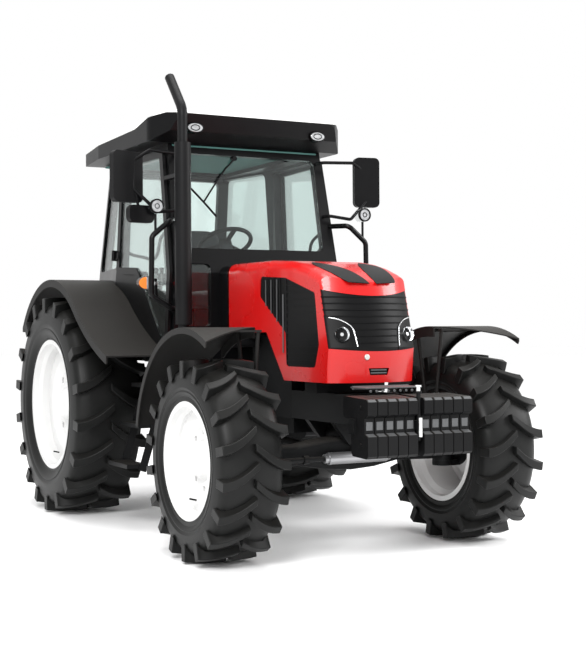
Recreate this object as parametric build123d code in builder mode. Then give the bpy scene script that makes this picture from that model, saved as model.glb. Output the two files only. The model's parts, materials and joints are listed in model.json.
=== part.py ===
from build123d import *
import os
from math import asin, cos, degrees, radians, sin, sqrt

# Farm tractor with a closed cab, front weights and a rear three-point hitch.
# Millimetres. Origin on the ground under the middle of the machine, +Z up.
# The machine faces -Y and its left side is +X.

os.makedirs("parts", exist_ok=True)

# ---- driving dimensions ------------------------------------------------------
wheelbase = 2340
rear_axle_y = 1000
front_axle_y = rear_axle_y - wheelbase
front_end_y = -2145                     # front face of the suitcase weights
running_gap = 0.3                       # between faces that turn against each other
moving_gap = 6                          # round doors, hood and other moving panels
seat_gap = 0.2                          # between pieces that are clamped together

# wheels: track is from the middle of the machine to the middle of the tread
rear_wheel = dict(track=830, radius=752, width=480, bead=432, rim=400, lug=45, lugs=18,
                  disc=55, hub=112, bolts=8)
front_wheel = dict(track=820, radius=556, width=380, bead=305, rim=340, lug=40, lugs=18,
                   disc=60, hub=92, bolts=8)
facets = 30                             # flats round a tyre carcass
rear_hub_start = -66
front_hub_start = -30

# front axle
pivot_z = 655                           # axle pivot, along Y
pivot_radius = 30
kingpin_x = 680
kingpin_radius = 28
steer_arm = 150                         # kingpin to tie rod pin, ahead of the axle
hanger_gap = 130                        # from the middle of the beam to the hangers
kingpin_boss = 62
kingpin_reach = 110                     # knuckle lugs above and below the hub line
cylinder_radius = 34
rod_half = 330
fender_skin = 7
fender_rear_angle = 12
fender_front_angle = 117

# cab: side faces are planes that lean inwards with height
wall = 55                               # depth of posts and rails
floor_z = 1060                          # underside of the floor
floor_thickness = 36
eaves_z = 2480                          # top of the cab frame
front_wall_y = -262
glass_thickness = 5
glass_inset = 12
door_overlap = 22
door_hinge_y = 690
frame_inset = 24                        # posts stand this far inside the doors' outer faces
post = 58                               # width of the posts seen from the side
door_rear_y = 664
door_bottom_z = 1166
door_corner = 42
arch_radius = 872                       # rear fender over the tyre
arch_skin = 10
arch_inner_x = 560
windshield_outline = ((-500, 1790), (-505, 2415), (505, 2415), (500, 1790))
lower_pane_outline = ((345, 1290), (345, 1690), (575, 1690), (575, 1290))
rear_outline = ((-430, 1560), (-400, 2400), (400, 2400), (430, 1560))
hinge_heights = (60, 640)               # along the hinge line, above the belt
hinge_pin = 7
hinge_barrel = 13
barrel_length = 44
door_out = -4                           # outer face of the door
door_ring = 46
roof_front_y = -262
roof_rear_y = 1405
fender_lip = 42
arc_start = 38                          # degrees from the rear, over the top
arc_end = 128
fender_front = (-172, 1108)             # (y, z) of the fender's front end

# roof
roof_z = 2500

# hood
hood_rear_y = -385
hood_half = 288
hood_wall = 5
hood_pivot_y = -380                     # hinge of the hood, along X
hood_pivot_z = 1662
hood_ear_x = 190
hood_pin = 6
cowl_y = -360                           # front face of the cowl behind the hood
side_edge_z = 1250                      # lower edge of the hood behind the grille
nose_edge_z = 970                       # lower edge of the hood at the nose
hood_front_half = 276
hood_rear_z = 1682                      # top of the hood at the cab
hood_drop = 212                         # how far it falls to the nose
nose_y = -1745                          # foremost point, at nose_break_z
nose_corner_y = -1650
nose_break_z = 1165                     # the nose leans back above this and below it
nose_lean = 0.27
chin_lean = 0.12
opening_half = 300                      # past the hood's sides: the grille wraps round the corners
opening_top = (1492, 1450)              # at the corners, in the middle
opening_bottom = (1162, 1143)
grille_bars = 8
grille_pitch = 36
lamp_outline = ((300, 1342), (205, 1322), (150, 1284), (137, 1238), (128, 1120), (300, 1120))
nose_slot = ((-66, 1050), (66, 1050), (56, 1012), (-56, 1012))

# hitch
rockshaft = (0, 1290, 900)
rockshaft_radius = 30
link_pin_radius = 20
lift_arm_length = 300
link_front = (0, 1105, 440)             # front pins of the lower links
link_length = 1000
link_spread_front = 210
link_spread_rear = 395
top_link_pin = (0, 1362, 985)
top_pin_radius = 12.4
top_link_slope = 12
top_link_length = 580
lower_ball_bore = 14.35
top_link_bore = 12.75
drawbar_bore = 16
pto_radius = 17.45
lift_eye_x = 235                        # lift arms and rods are outboard of the case
lift_angle_down = -22                   # resting slope of the lift arms
link_slope = -4                         # resting slope of the lower links
rod_share = 0.46                        # where the lift rod meets the lower link

# chassis
rail_x = 125
rail_thickness = 40
rail_bottom = 740
rail_top = 905
carrier_y = -1838                       # front face of the front frame
weights_each_side = 5
weight_pitch = 62
weight_thickness = 57
weight_gap = 40                         # room for the tow tongue
engine_half = 165
bell_y = -470                           # joint between engine and clutch housing
drawbar_z = 395

# seat and steering column
seat_y = 640                            # middle of the seat cushion
wheel_centre = (0, 296, 1860)
wheel_radius = 196
column_lean = 30                        # degrees from upright

# exhaust, steps and rails outside of the cab
exhaust_x = -600
exhaust_y = -390
step_x = 905                            # outer edge of the bottom step
step_rise = 250
step_count = 3
step_lean = 78                          # each step up is this much nearer the cab
step_y0 = -190
step_length = 330
step_bottom = 400
rail_radius = 17
rail_y = -300
work_lamp_z = 2035
work_lamp_radius = 45


def write(piece, label):
    """Name a finished piece and write it beside the others."""
    piece.part.label = label
    export_step(piece.part, f"parts/{label}.step")


def twin(piece):
    """The same piece on the other side of the machine."""
    with BuildPart() as other:
        add(mirror(piece.part, about=Plane.YZ, mode=Mode.PRIVATE))
    return other


def pair(piece):
    """A piece and its mirror image in one node."""
    with BuildPart() as both:
        add(piece.part)
        add(mirror(piece.part, about=Plane.YZ, mode=Mode.PRIVATE))
    return both


def bar(start, end, size, side=(1, 0, 0)):
    """A straight rectangular bar between two points. Joins the part being built."""
    path = Vector(*end) - Vector(*start)
    along = path.normalized()
    across = Vector(*side)
    across = (across - along * across.dot(along)).normalized()
    with BuildSketch(Plane(Vector(*start), x_dir=across, z_dir=along)) as section:
        Rectangle(*size)
    extrude(section.sketch, amount=path.length)


def rod(start, end, radius, mode=Mode.ADD):
    """A straight round bar between two points. Joins the part being built."""
    path = Vector(*end) - Vector(*start)
    with BuildSketch(Plane(Vector(*start), z_dir=path.normalized())) as section:
        Circle(radius)
    extrude(section.sketch, amount=path.length, mode=mode)


def bent_tube(points, radius, bend):
    """A round tube along straight runs with bends between them."""
    with BuildLine() as route:
        FilletPolyline(*points, radius=bend)
    with BuildSketch(Plane(route.line @ 0, z_dir=route.line % 0)) as section:
        Circle(radius)
    sweep(section.sketch, path=route.line)


def side_profile(points, x0, x1):
    """Extrude an outline given in (y, z) from x0 to x1. Joins the part being built."""
    with BuildSketch(Plane.YZ.offset(min(x0, x1))) as outline:
        with BuildLine():
            Polyline(*points, close=True)
        make_face()
    extrude(outline.sketch, amount=abs(x1 - x0))


# ---- wheels --------------------------------------------------------------------


def axle_plane(wheel, y):
    """Plane across the left wheel, its normal pointing away from the machine."""
    return Plane((wheel["track"], y, wheel["radius"]), x_dir=(0, 1, 0), z_dir=(1, 0, 0))


def carcass_ring(axle, sections):
    """Ruled ring through polygons given as (offset along the axle, radius)."""
    rings = []
    for offset, radius in sections:
        with BuildSketch(axle.offset(offset)) as ring:
            RegularPolygon(radius, facets)
        rings.append(ring.sketch)
    loft(rings, ruled=True)


def lug(axle, wheel, side, angle):
    """One tread bar, from the middle of the tread out over the shoulder."""
    half = wheel["width"] / 2
    foot = wheel["radius"] - wheel["lug"] - 14
    reach = half * 0.62                 # how far the bar trails towards the shoulder
    thick = half * 0.25
    spoke = axle.x_dir * cos(radians(angle)) + axle.y_dir * sin(radians(angle))
    tread = Plane(axle.origin + spoke * foot, x_dir=axle.z_dir, z_dir=spoke)
    with BuildPart() as block:
        with BuildSketch(tread):
            with BuildLine():
                Polyline((-0.04 * half * side, -(reach + thick) / 2),
                         (half * side, reach * 0.36 - thick / 2),
                         (half * side, reach * 0.36 + thick / 2 + 6),
                         (-0.04 * half * side, -(reach - thick) / 2),
                         close=True)
            make_face()
        # the corner in the middle of the tread then touches the tyre's radius
        extrude(amount=sqrt(wheel["radius"] ** 2 - ((reach + thick) / 2) ** 2) - foot)
    return block.part


def tyre(wheel, y):
    axle = axle_plane(wheel, y)
    half = wheel["width"] / 2
    base = wheel["radius"] - wheel["lug"]
    bead = wheel["bead"]
    bead_half = wheel["rim"] / 2 - 12
    pitch = 360 / wheel["lugs"]
    lugs = [lug(axle, wheel, side, pitch * (turn + (0.25 if side > 0 else 0.75)))
            for turn in range(wheel["lugs"]) for side in (1, -1)]
    with BuildPart() as ring:
        carcass_ring(axle, ((-bead_half, bead + 28), (-half + 6, (bead + base) / 2), (-half + 40, base),
                            (half - 40, base), (half - 6, (bead + base) / 2), (bead_half, bead + 28)))
        add(lugs)
        with BuildSketch(axle.offset(-half)):
            RegularPolygon((bead + seat_gap) / cos(radians(180 / facets)), facets)
        extrude(amount=2 * half, mode=Mode.SUBTRACT)
    return ring


def rim(wheel, y, hub_start):
    """Rim barrel, dished disc and axle hub turned as one, with bolt holes."""
    axle = axle_plane(wheel, y)
    half = wheel["rim"] / 2
    bead = wheel["bead"]
    disc = wheel["disc"]
    hub = wheel["hub"]
    lip = bead + 25
    seat = bead - 0.1
    inner = bead - 16
    # (offset along the axle, radius) of half the section, from the inboard hub outwards
    section = [(hub_start, 0), (hub_start, hub), (disc - 30, hub), (disc - 30, hub + 38),
               (disc - 12, hub + 38),
               (disc - 12, inner * 0.62), (disc + 18, inner * 0.80), (disc + 18, inner - 26),
               (60 - half, inner - 26),
               (-half + 34, inner), (-half, inner + 6), (-half, lip), (-half + 12 - seat_gap, lip),
               (-half + 12 - seat_gap, seat),
               (half - 12 + seat_gap, seat), (half - 12 + seat_gap, lip), (half, lip), (half, inner + 6),
               (half - 34, inner),
               (half - 60, inner - 14), (disc + 32, inner - 14), (disc + 32, inner * 0.78),
               (disc + 4, inner * 0.60),
               (disc + 4, hub + 20), (disc + 44, hub - 6), (disc + 58, hub - 26), (disc + 58, 0)]
    turning = Plane(axle.origin, x_dir=axle.z_dir, z_dir=(0, -1, 0))
    with BuildPart() as turned:
        with BuildSketch(turning):
            with BuildLine():
                Polyline(*section, close=True)
            make_face()
        revolve(axis=Axis(axle.origin, axle.z_dir))
        with BuildSketch(axle.offset(disc - 40)):
            with PolarLocations(inner * 0.54, wheel["bolts"]):
                Circle(inner * 0.055)
        extrude(amount=100, mode=Mode.SUBTRACT)
    return turned


wheel_sets = (("rear", rear_wheel, rear_axle_y, rear_hub_start),
              ("front", front_wheel, front_axle_y, front_hub_start))
for end, wheel, wheel_y, hub_start in wheel_sets:
    left_tyre = tyre(wheel, wheel_y)
    left_rim = rim(wheel, wheel_y, hub_start)
    write(left_tyre, f"tyre_{end}_left")
    write(twin(left_tyre), f"tyre_{end}_right")
    write(left_rim, f"rim_{end}_left")
    write(twin(left_rim), f"rim_{end}_right")

# ---- front axle ------------------------------------------------------------------
front_hub_z = front_wheel["radius"]
steer_rod_z = front_hub_z - 16
cylinder_y = front_axle_y - 142         # steering cylinder ahead of the beam

with BuildPart() as beam_half:
    # (x, height, depth along Y, z of the middle)
    sections = ((0, 190, 190, front_hub_z), (160, 170, 170, front_hub_z), (330, 118, 120, front_hub_z),
                (kingpin_x - 90, 130, 120, front_hub_z))
    for x, tall, deep, z in sections:
        with BuildSketch(Plane.YZ.offset(x)):
            with Locations((front_axle_y, z)):
                RectangleRounded(deep, tall, 28)
    loft(ruled=True)
    # eye that holds the kingpins between the knuckle's lugs
    with BuildSketch(Plane.XY.offset(front_hub_z - kingpin_reach + 32)):
        with Locations((kingpin_x, front_axle_y)):
            Circle(kingpin_boss)
    extrude(amount=2 * kingpin_reach - 64)
    bar((kingpin_x - 95, front_axle_y, front_hub_z), (kingpin_x - 20, front_axle_y, front_hub_z),
        (100, 120),
        side=(0, 1, 0))
with BuildPart() as front_axle_beam:
    add(beam_half.part)
    add(mirror(beam_half.part, about=Plane.YZ, mode=Mode.PRIVATE))
    # saddles that the steering cylinder is clamped to
    for x in (-150, 150):
        side_profile(((front_axle_y - 70, steer_rod_z - 26),
                      (cylinder_y + cylinder_radius + seat_gap, steer_rod_z - 26),
                      (cylinder_y + cylinder_radius + seat_gap, steer_rod_z + 26),
                      (front_axle_y - 70, steer_rod_z + 26)),
                     x - 20, x + 20)
    # pivot boss along the machine, over the beam
    with BuildSketch(Plane.XZ.offset(-front_axle_y - hanger_gap + running_gap)):
        with Locations((0, pivot_z)):
            Circle(58)
    extrude(amount=2 * (hanger_gap - running_gap))
    # input housing for the drive shaft, behind the beam
    rod((0, front_axle_y + 60, front_hub_z - 20), (0, front_axle_y + 200, front_hub_z - 20), 56)
    with BuildSketch(Plane.XZ.offset(-front_axle_y - 300)):
        with Locations((0, pivot_z)):
            Circle(pivot_radius + 0.05)
    extrude(amount=600, mode=Mode.SUBTRACT)
    with BuildSketch(Plane.XY):
        with Locations((kingpin_x, front_axle_y), (-kingpin_x, front_axle_y)):
            Circle(kingpin_radius + 0.05)
    extrude(amount=pivot_z * 2, mode=Mode.SUBTRACT)
write(front_axle_beam, "front_axle_beam")

with BuildPart() as steering_cylinder:
    rod((-190, cylinder_y, steer_rod_z), (190, cylinder_y, steer_rod_z), cylinder_radius)
    for way in (-1, 1):
        rod((way * 190, cylinder_y, steer_rod_z), (way * 214, cylinder_y, steer_rod_z), cylinder_radius - 8)
    with BuildSketch(Plane.YZ.offset(-300)):
        with Locations((cylinder_y, steer_rod_z)):
            Circle(14.05)
    extrude(amount=600, mode=Mode.SUBTRACT)
write(steering_cylinder, "steering_cylinder")

arm_x = kingpin_x - 30
arm_y = front_axle_y - steer_arm
with BuildPart() as tie_rods:
    rod((-rod_half, cylinder_y, steer_rod_z), (rod_half, cylinder_y, steer_rod_z), 14)
    for way in (-1, 1):
        rod((way * (rod_half - 14), cylinder_y, steer_rod_z),
            (way * (rod_half + 16), cylinder_y, steer_rod_z), 24)
        rod((way * rod_half, cylinder_y, steer_rod_z), (way * (arm_x - 4), arm_y, steer_rod_z), 15)
        rod((way * arm_x, arm_y, steer_rod_z - 18), (way * arm_x, arm_y, steer_rod_z + 22), 26)
write(tie_rods, "tie_rods")

post_x = front_wheel["track"] - front_wheel["width"] / 2 - 26      # fender posts, inboard of the tyre

with BuildPart() as knuckle_left:
    # two lugs round the beam's eye, joined outboard of it by the hub carrier
    for z0, z1 in ((-kingpin_reach, -kingpin_reach + 32 - running_gap),
                   (kingpin_reach - 32 + running_gap, kingpin_reach)):
        with BuildSketch(Plane.XY.offset(front_hub_z + z0)):
            with Locations((kingpin_x, front_axle_y)):
                Circle(kingpin_boss)
            with Locations((kingpin_x + 55, front_axle_y)):
                Rectangle(60, 2 * kingpin_boss)
        extrude(amount=z1 - z0)
    with BuildSketch(Plane.YZ.offset(kingpin_x + kingpin_boss + 8)):
        with Locations((front_axle_y, front_hub_z)):
            Circle(kingpin_reach + 6)
    extrude(amount=front_wheel["track"] + front_hub_start - running_gap - kingpin_x - kingpin_boss - 8)
    with BuildSketch(Plane.XY.offset(front_hub_z - kingpin_reach)):
        with Locations((kingpin_x, front_axle_y)):
            Circle(kingpin_radius)
    extrude(amount=2 * kingpin_reach)
    # steering arm, just over the tie rod's head
    arm_top = steer_rod_z + 22 + running_gap
    with BuildSketch(Plane.XY.offset(arm_top)):
        with BuildLine():
            Polyline((kingpin_x + 100, front_axle_y + 10), (kingpin_x + 100, front_axle_y - 80),
                     (arm_x + 60, arm_y - 20),
                     (arm_x + 20, arm_y - 34), (arm_x - 26, arm_y - 24), (arm_x - 26, arm_y + 26),
                     (kingpin_x + 68, front_axle_y - 66), close=True)
        make_face()
    extrude(amount=30)
    # bracket that carries the fender, over the upper lug and inboard of the tyre
    bar((kingpin_x + 60, front_axle_y, front_hub_z + kingpin_reach + 8), (post_x - 14, front_axle_y,
        front_hub_z + kingpin_reach + 8), (90, 16), side=(0, 1, 0))
write(knuckle_left, "knuckle_left")
write(twin(knuckle_left), "knuckle_right")

# front fender: an arc over the tyre, skirt on its inner side, carried from the knuckle
fender_radius = front_wheel["radius"] + 168
fender_inner = post_x - 14
fender_outer = front_wheel["track"] + front_wheel["width"] / 2 + 2
with BuildPart() as front_fender_left:
    with BuildSketch(Plane.YZ.offset(fender_inner)):
        with BuildLine():
            outer = CenterArc((front_axle_y, front_hub_z), fender_radius, fender_rear_angle,
                              fender_front_angle - fender_rear_angle)
            inner = CenterArc((front_axle_y, front_hub_z), fender_radius - fender_skin, fender_rear_angle,
                              fender_front_angle - fender_rear_angle)
            Line(outer @ 0, inner @ 0)
            Line(outer @ 1, inner @ 1)
        make_face()
    extrude(amount=fender_outer - fender_inner)
    # outer lip and inner skirt
    for x, depth in ((fender_outer - fender_skin, 34), (fender_inner, 62)):
        with BuildSketch(Plane.YZ.offset(x)):
            with BuildLine():
                outer = CenterArc((front_axle_y, front_hub_z), fender_radius, fender_rear_angle,
                                  fender_front_angle - fender_rear_angle)
                inner = CenterArc((front_axle_y, front_hub_z), fender_radius - depth, fender_rear_angle,
                                  fender_front_angle - fender_rear_angle)
                Line(outer @ 0, inner @ 0)
                Line(outer @ 1, inner @ 1)
            make_face()
        extrude(amount=fender_skin)
    # the front edge runs back towards the machine
    with BuildSketch(Plane.XY.offset(front_hub_z)):
        with BuildLine():
            Polyline((fender_inner - 20, front_axle_y - 900), (fender_outer + 20, front_axle_y - 900),
                     (fender_outer + 20, front_axle_y - 335), (fender_inner - 20, front_axle_y - 30),
                     close=True)
        make_face()
        # and its rear end clears the hood when the wheels are turned
        with BuildLine():
            Polyline((fender_inner - 20, front_axle_y + 330), (fender_inner + 150, front_axle_y + 760),
                     (fender_inner - 20, front_axle_y + 760), close=True)
        make_face()
    extrude(amount=1200, mode=Mode.SUBTRACT)
    # posts from the knuckle's bracket to the arc, with straps across it
    foot_z = front_hub_z + kingpin_reach + 16 + seat_gap
    bar((post_x, front_axle_y, foot_z), (post_x, front_axle_y, foot_z + 12), (28, 88))
    for y_off in (-110, 150):
        top = front_hub_z + sqrt((fender_radius - fender_skin) ** 2 - y_off ** 2)
        rod((post_x, front_axle_y + y_off / 5, foot_z + 6), (post_x, front_axle_y + y_off, top - 4), 11)
        bar((post_x - 13, front_axle_y + y_off, top - 6),
            (fender_outer - 60, front_axle_y + y_off, top - 6),
            (36, 12), side=(0, 1, 0))
write(front_fender_left, "front_fender_left")
write(twin(front_fender_left), "front_fender_right")

# ---- chassis --------------------------------------------------------------------

bar_front_y = carrier_y - 190           # bar that the weights hang on
bar_back_y = carrier_y - 130
bar_z0 = rail_bottom - 20
bar_z1 = rail_bottom + 60
tow_pin_y = front_end_y + 26

with BuildPart() as front_frame:
    for way in (-1, 1):
        side_profile(((-1000, rail_bottom), (-1000, rail_top), (carrier_y, rail_top),
                      (carrier_y, rail_bottom - 60),
                      (carrier_y + 120, rail_bottom)), way * rail_x, way * (rail_x + rail_thickness))
    # cross plates
    for y0, y1 in ((carrier_y, carrier_y + 40), (-1560, -1500), (-1080, -1000)):
        side_profile(((y0, rail_bottom), (y1, rail_bottom), (y1, rail_top), (y0, rail_top)), -rail_x,
                     rail_x)
    # hangers with the pivot pin
    for way in (-1, 1):
        face = front_axle_y + way * hanger_gap
        with BuildSketch(Plane.XZ.offset(-face)):
            with BuildLine():
                Polyline((-rail_x - rail_thickness, rail_top), (-rail_x - rail_thickness, rail_bottom),
                         (-70, pivot_z - 40), (70, pivot_z - 40), (rail_x + rail_thickness, rail_bottom),
                         (rail_x + rail_thickness, rail_top), close=True)
            make_face()
        extrude(amount=-way * 44)
    rod((0, front_axle_y - hanger_gap - 50, pivot_z), (0, front_axle_y + hanger_gap + 50, pivot_z),
        pivot_radius)
    # weight carrier: side plates, deck and the front bar that the weights hang on
    for way in (-1, 1):
        side_profile(((carrier_y, rail_bottom - 60), (carrier_y, rail_top), (carrier_y - 20, rail_top),
                      (carrier_y - 50, bar_z1 - 10), (bar_back_y, bar_z1 - 10),
                      (bar_back_y, rail_bottom - 60)),
                     way * 120, way * 160)
    side_profile(((bar_back_y, bar_z0), (bar_front_y, bar_z0), (bar_front_y, bar_z1),
                  (bar_back_y, bar_z1)), -338, 338)
    side_profile(((carrier_y, rail_bottom - 60), (bar_back_y, rail_bottom - 60),
                  (bar_back_y, rail_bottom - 30), (carrier_y, rail_bottom - 30)), -120, 120)
    # tow tongue between the weights, with its pin
    side_profile(((bar_front_y, bar_z0 + 16), (front_end_y + 8, bar_z0 + 16),
                  (front_end_y + 8, bar_z1 - 16),
                  (bar_front_y, bar_z1 - 16)), -14, 14)
    rod((0, tow_pin_y, bar_z0 - 40), (0, tow_pin_y, rail_top + 22), 11)
    rod((0, tow_pin_y, rail_top + 22), (0, tow_pin_y, rail_top + 34), 17)
write(front_frame, "front_frame")

# suitcase weights: slabs that hook over the carrier's front bar, five each side of the tongue
hook = ((carrier_y - 58, 905), (carrier_y - 78, 914), (front_end_y + 14, 904), (front_end_y, 890),
        (front_end_y, 822), (front_end_y + 34, 806), (front_end_y + 34, 726), (front_end_y, 712),
        (front_end_y, 612), (front_end_y + 18, 598), (bar_back_y - 22, 604), (bar_back_y - 8, 620),
        (bar_back_y - 8, bar_z0 - seat_gap), (bar_front_y - seat_gap, bar_z0 - seat_gap),
        (bar_front_y - seat_gap, bar_z1 + seat_gap), (carrier_y - 58, bar_z1 + seat_gap))
with BuildPart() as suitcase_weights:
    for way in (-1, 1):
        for slot in range(weights_each_side):
            x = way * (weight_gap / 2 + weight_thickness / 2 + slot * weight_pitch)
            side_profile(hook, x - weight_thickness / 2, x + weight_thickness / 2)
        for z in (668, 862):
            rod((way * (weight_gap / 2 + 2), front_end_y + 70, z),
                (way * (weight_gap / 2 + weights_each_side * weight_pitch + 2), front_end_y + 70, z), 9)
write(suitcase_weights, "suitcase_weights")

with BuildPart() as engine:
    engine_rear = bell_y - seat_gap
    engine_front = -1000 + seat_gap
    side_profile(((engine_front, 735), (engine_front, 1230), (engine_rear, 1230), (engine_rear, 735)),
                 -engine_half, engine_half)
    side_profile(((-960, 1230), (-960, 1330), (-520, 1330), (-520, 1230)), -110, 110)
    side_profile(((-940, 645), (-940, 735), (engine_rear, 735), (engine_rear, 620), (-640, 620)), -120, 120)
    # cooling pack on the frame behind the grille, with its fan drive
    pack_base = rail_top + seat_gap
    side_profile(((-1420, pack_base), (-1420, 1430), (-1280, 1430), (-1280, pack_base)), -225, 225)
    rod((0, -1280, 1150), (0, engine_front + 1, 1150), 60)
    rod((-130, -1180, 1400), (-130, -760, 1400), 75)
    rod((-90, -800, 1320), (-90, -800, 1400), 40)
write(engine, "engine")

with BuildPart() as transmission_case:
    # (y, half width, z bottom, z top)
    case_sections = ((bell_y, 215, 560, 1020), (-330, 215, 560, 1020), (-200, 165, 590, 950),
                     (420, 165, 570, 950),
                     (560, 205, 520, floor_z - 12), (1150, 205, 500, floor_z - 12))
    for index in range(len(case_sections) - 1):
        for y, half, z0, z1 in case_sections[index:index + 2]:
            with BuildSketch(Plane.XZ.offset(-y)):
                with Locations((0, (z0 + z1) / 2)):
                    RectangleRounded(2 * half, z1 - z0, 40)
        loft(ruled=True)
    # guard tube over the drive shaft to the front axle
    rod((0, -180, 572), (0, front_axle_y + 212, front_hub_z - 20), 34)
    # power take-off housing and stub
    rod((0, 1150, 640), (0, 1178, 640), 85)
    rod((0, 1178, 640), (0, 1278, 640), pto_radius)
    # brackets of the rockshaft and of the top link
    shaft_y, shaft_z = rockshaft[1:]
    for x in (-150, 150):
        side_profile(((1100, floor_z - 20), (1180, floor_z - 20), (shaft_y + 50, shaft_z + 50),
                      (shaft_y + 50, shaft_z - 50),
                      (1150, shaft_z - 120), (1100, shaft_z - 120)), x - 28, x + 28)
    side_profile(((1100, shaft_z + 40), (1100, floor_z - 20), (top_link_pin[1] - 40, floor_z - 20),
                  (top_link_pin[1] - 40, shaft_z + 40)), -60, 60)
    for x in (-32, 32):
        side_profile(((top_link_pin[1] - 45, top_link_pin[2] - 40),
                      (top_link_pin[1] + 20, top_link_pin[2] - 26),
                      (top_link_pin[1] + 20, top_link_pin[2] + 26),
                      (top_link_pin[1] - 45, top_link_pin[2] + 40)),
                     x - 9, x + 9)
    # carriers and pins of the lower links
    for way in (-1, 1):
        side_profile(((1000, 410), (1000, 540), (1150, 540), (1150, 410)), way * 150, way * 190)
        rod((way * 185, link_front[1], link_front[2]),
            (way * (link_spread_front + 34), link_front[1], link_front[2]),
            link_pin_radius)
    rod((-200, rockshaft[1], rockshaft[2]), (200, rockshaft[1], rockshaft[2]), rockshaft_radius + 0.05,
        mode=Mode.SUBTRACT)
    rod((-60, *top_link_pin[1:]), (60, *top_link_pin[1:]), top_pin_radius + 0.05, mode=Mode.SUBTRACT)
write(transmission_case, "transmission_case")

rear_hub_face = rear_wheel["track"] + rear_hub_start - running_gap
with BuildPart() as trumpet:
    with BuildSketch(Plane.XZ.offset(-rear_axle_y)):
        with BuildLine():
            Polyline((205, rear_wheel["radius"]), (205, rear_wheel["radius"] + 175),
                     (240, rear_wheel["radius"] + 175),
                     (300, rear_wheel["radius"] + 135), (560, rear_wheel["radius"] + 95),
                     (rear_hub_face - 40, rear_wheel["radius"] + 95),
                     (rear_hub_face - 40, rear_wheel["radius"] + 130),
                     (rear_hub_face, rear_wheel["radius"] + 130), (rear_hub_face, rear_wheel["radius"]),
                     close=True)
        make_face()
    revolve(axis=Axis((0, rear_axle_y, rear_wheel["radius"]), (1, 0, 0)))
    # pads that carry the cab and the fender
    side_profile(((920, 820), (920, 1000), (1080, 1000), (1080, 820)), 330, 470)
write(pair(trumpet), "rear_axle_housing")

with BuildPart() as drawbar:
    side_profile(((1150, 500 - seat_gap), (1150, 372), (700, 372), (700, 500 - seat_gap)), -60,
                 -38 - seat_gap)
    side_profile(((1150, 500 - seat_gap), (1150, 372), (700, 372), (700, 500 - seat_gap)), 38 + seat_gap,
                 60)
    for y0 in (700, 1120):
        side_profile(((y0, 372), (y0, drawbar_z - 16), (y0 + 30, drawbar_z - 16), (y0 + 30, 372)), -60, 60)
    side_profile(((700, drawbar_z - 16), (700, drawbar_z + 16), (1380, drawbar_z + 16),
                  (1380, drawbar_z - 16)), -38, 38)
    with BuildSketch(Plane.XY.offset(drawbar_z - 16)):
        with Locations((0, 1340)):
            Circle(drawbar_bore)
    extrude(amount=32, mode=Mode.SUBTRACT)
write(drawbar, "drawbar")

# ---- hitch ------------------------------------------------------------------------
arm_end = (rockshaft[1] + lift_arm_length * cos(radians(lift_angle_down)),
           rockshaft[2] + lift_arm_length * sin(radians(lift_angle_down)))
link_run = link_length * cos(radians(link_slope))
link_end = (link_front[1] + link_run, link_front[2] + link_length * sin(radians(link_slope)))
rod_foot = (link_front[1] + (link_end[0] - link_front[1]) * rod_share,
            link_front[2] + (link_end[1] - link_front[2]) * rod_share)
rod_foot_x = link_spread_front + (link_spread_rear - link_spread_front) * rod_share

with BuildPart() as lift_arms:
    for way in (-1, 1):
        with BuildSketch(Plane.YZ.offset(lift_eye_x - 24 if way > 0 else -lift_eye_x - 24)):
            with Locations((rockshaft[1], rockshaft[2])):
                Circle(58)
            with BuildLine():
                Polyline((rockshaft[1], rockshaft[2] + 56), (arm_end[0], arm_end[1] + 28),
                         (arm_end[0], arm_end[1] - 28), (rockshaft[1], rockshaft[2] - 56), close=True)
            make_face()
            with Locations(arm_end):
                Circle(30)
            with Locations(arm_end):
                Circle(15.1, mode=Mode.SUBTRACT)
        extrude(amount=48)
    rod((-lift_eye_x, rockshaft[1], rockshaft[2]), (lift_eye_x, rockshaft[1], rockshaft[2]),
        rockshaft_radius)
write(lift_arms, "lift_arms")

with BuildPart() as lower_link_left:
    slope = (link_end[0] - link_front[1], link_end[1] - link_front[2])
    front_eye = (link_spread_front + 6, link_front[1], link_front[2])
    rear_eye = (link_spread_rear, link_end[0], link_end[1])
    bar((front_eye[0] + 2, link_front[1] + slope[0] * 0.035, link_front[2] + slope[1] * 0.035),
        (rear_eye[0], link_front[1] + slope[0] * 0.97, link_front[2] + slope[1] * 0.97), (22, 62))
    rod((front_eye[0] - 16, front_eye[1], front_eye[2]), (front_eye[0] + 16, front_eye[1], front_eye[2]),
        44)
    rod((rear_eye[0] - 22, rear_eye[1], rear_eye[2]), (rear_eye[0] + 22, rear_eye[1], rear_eye[2]), 42)
    rod((rod_foot_x - 52, rod_foot[0], rod_foot[1]), (rod_foot_x + 8, rod_foot[0], rod_foot[1]), 14)
    rod((front_eye[0] - 40, front_eye[1], front_eye[2]), (front_eye[0] + 40, front_eye[1], front_eye[2]),
        link_pin_radius + 0.05, mode=Mode.SUBTRACT)
    rod((rear_eye[0] - 40, rear_eye[1], rear_eye[2]), (rear_eye[0] + 40, rear_eye[1], rear_eye[2]),
        lower_ball_bore, mode=Mode.SUBTRACT)
write(pair(lower_link_left), "lower_links")

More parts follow.
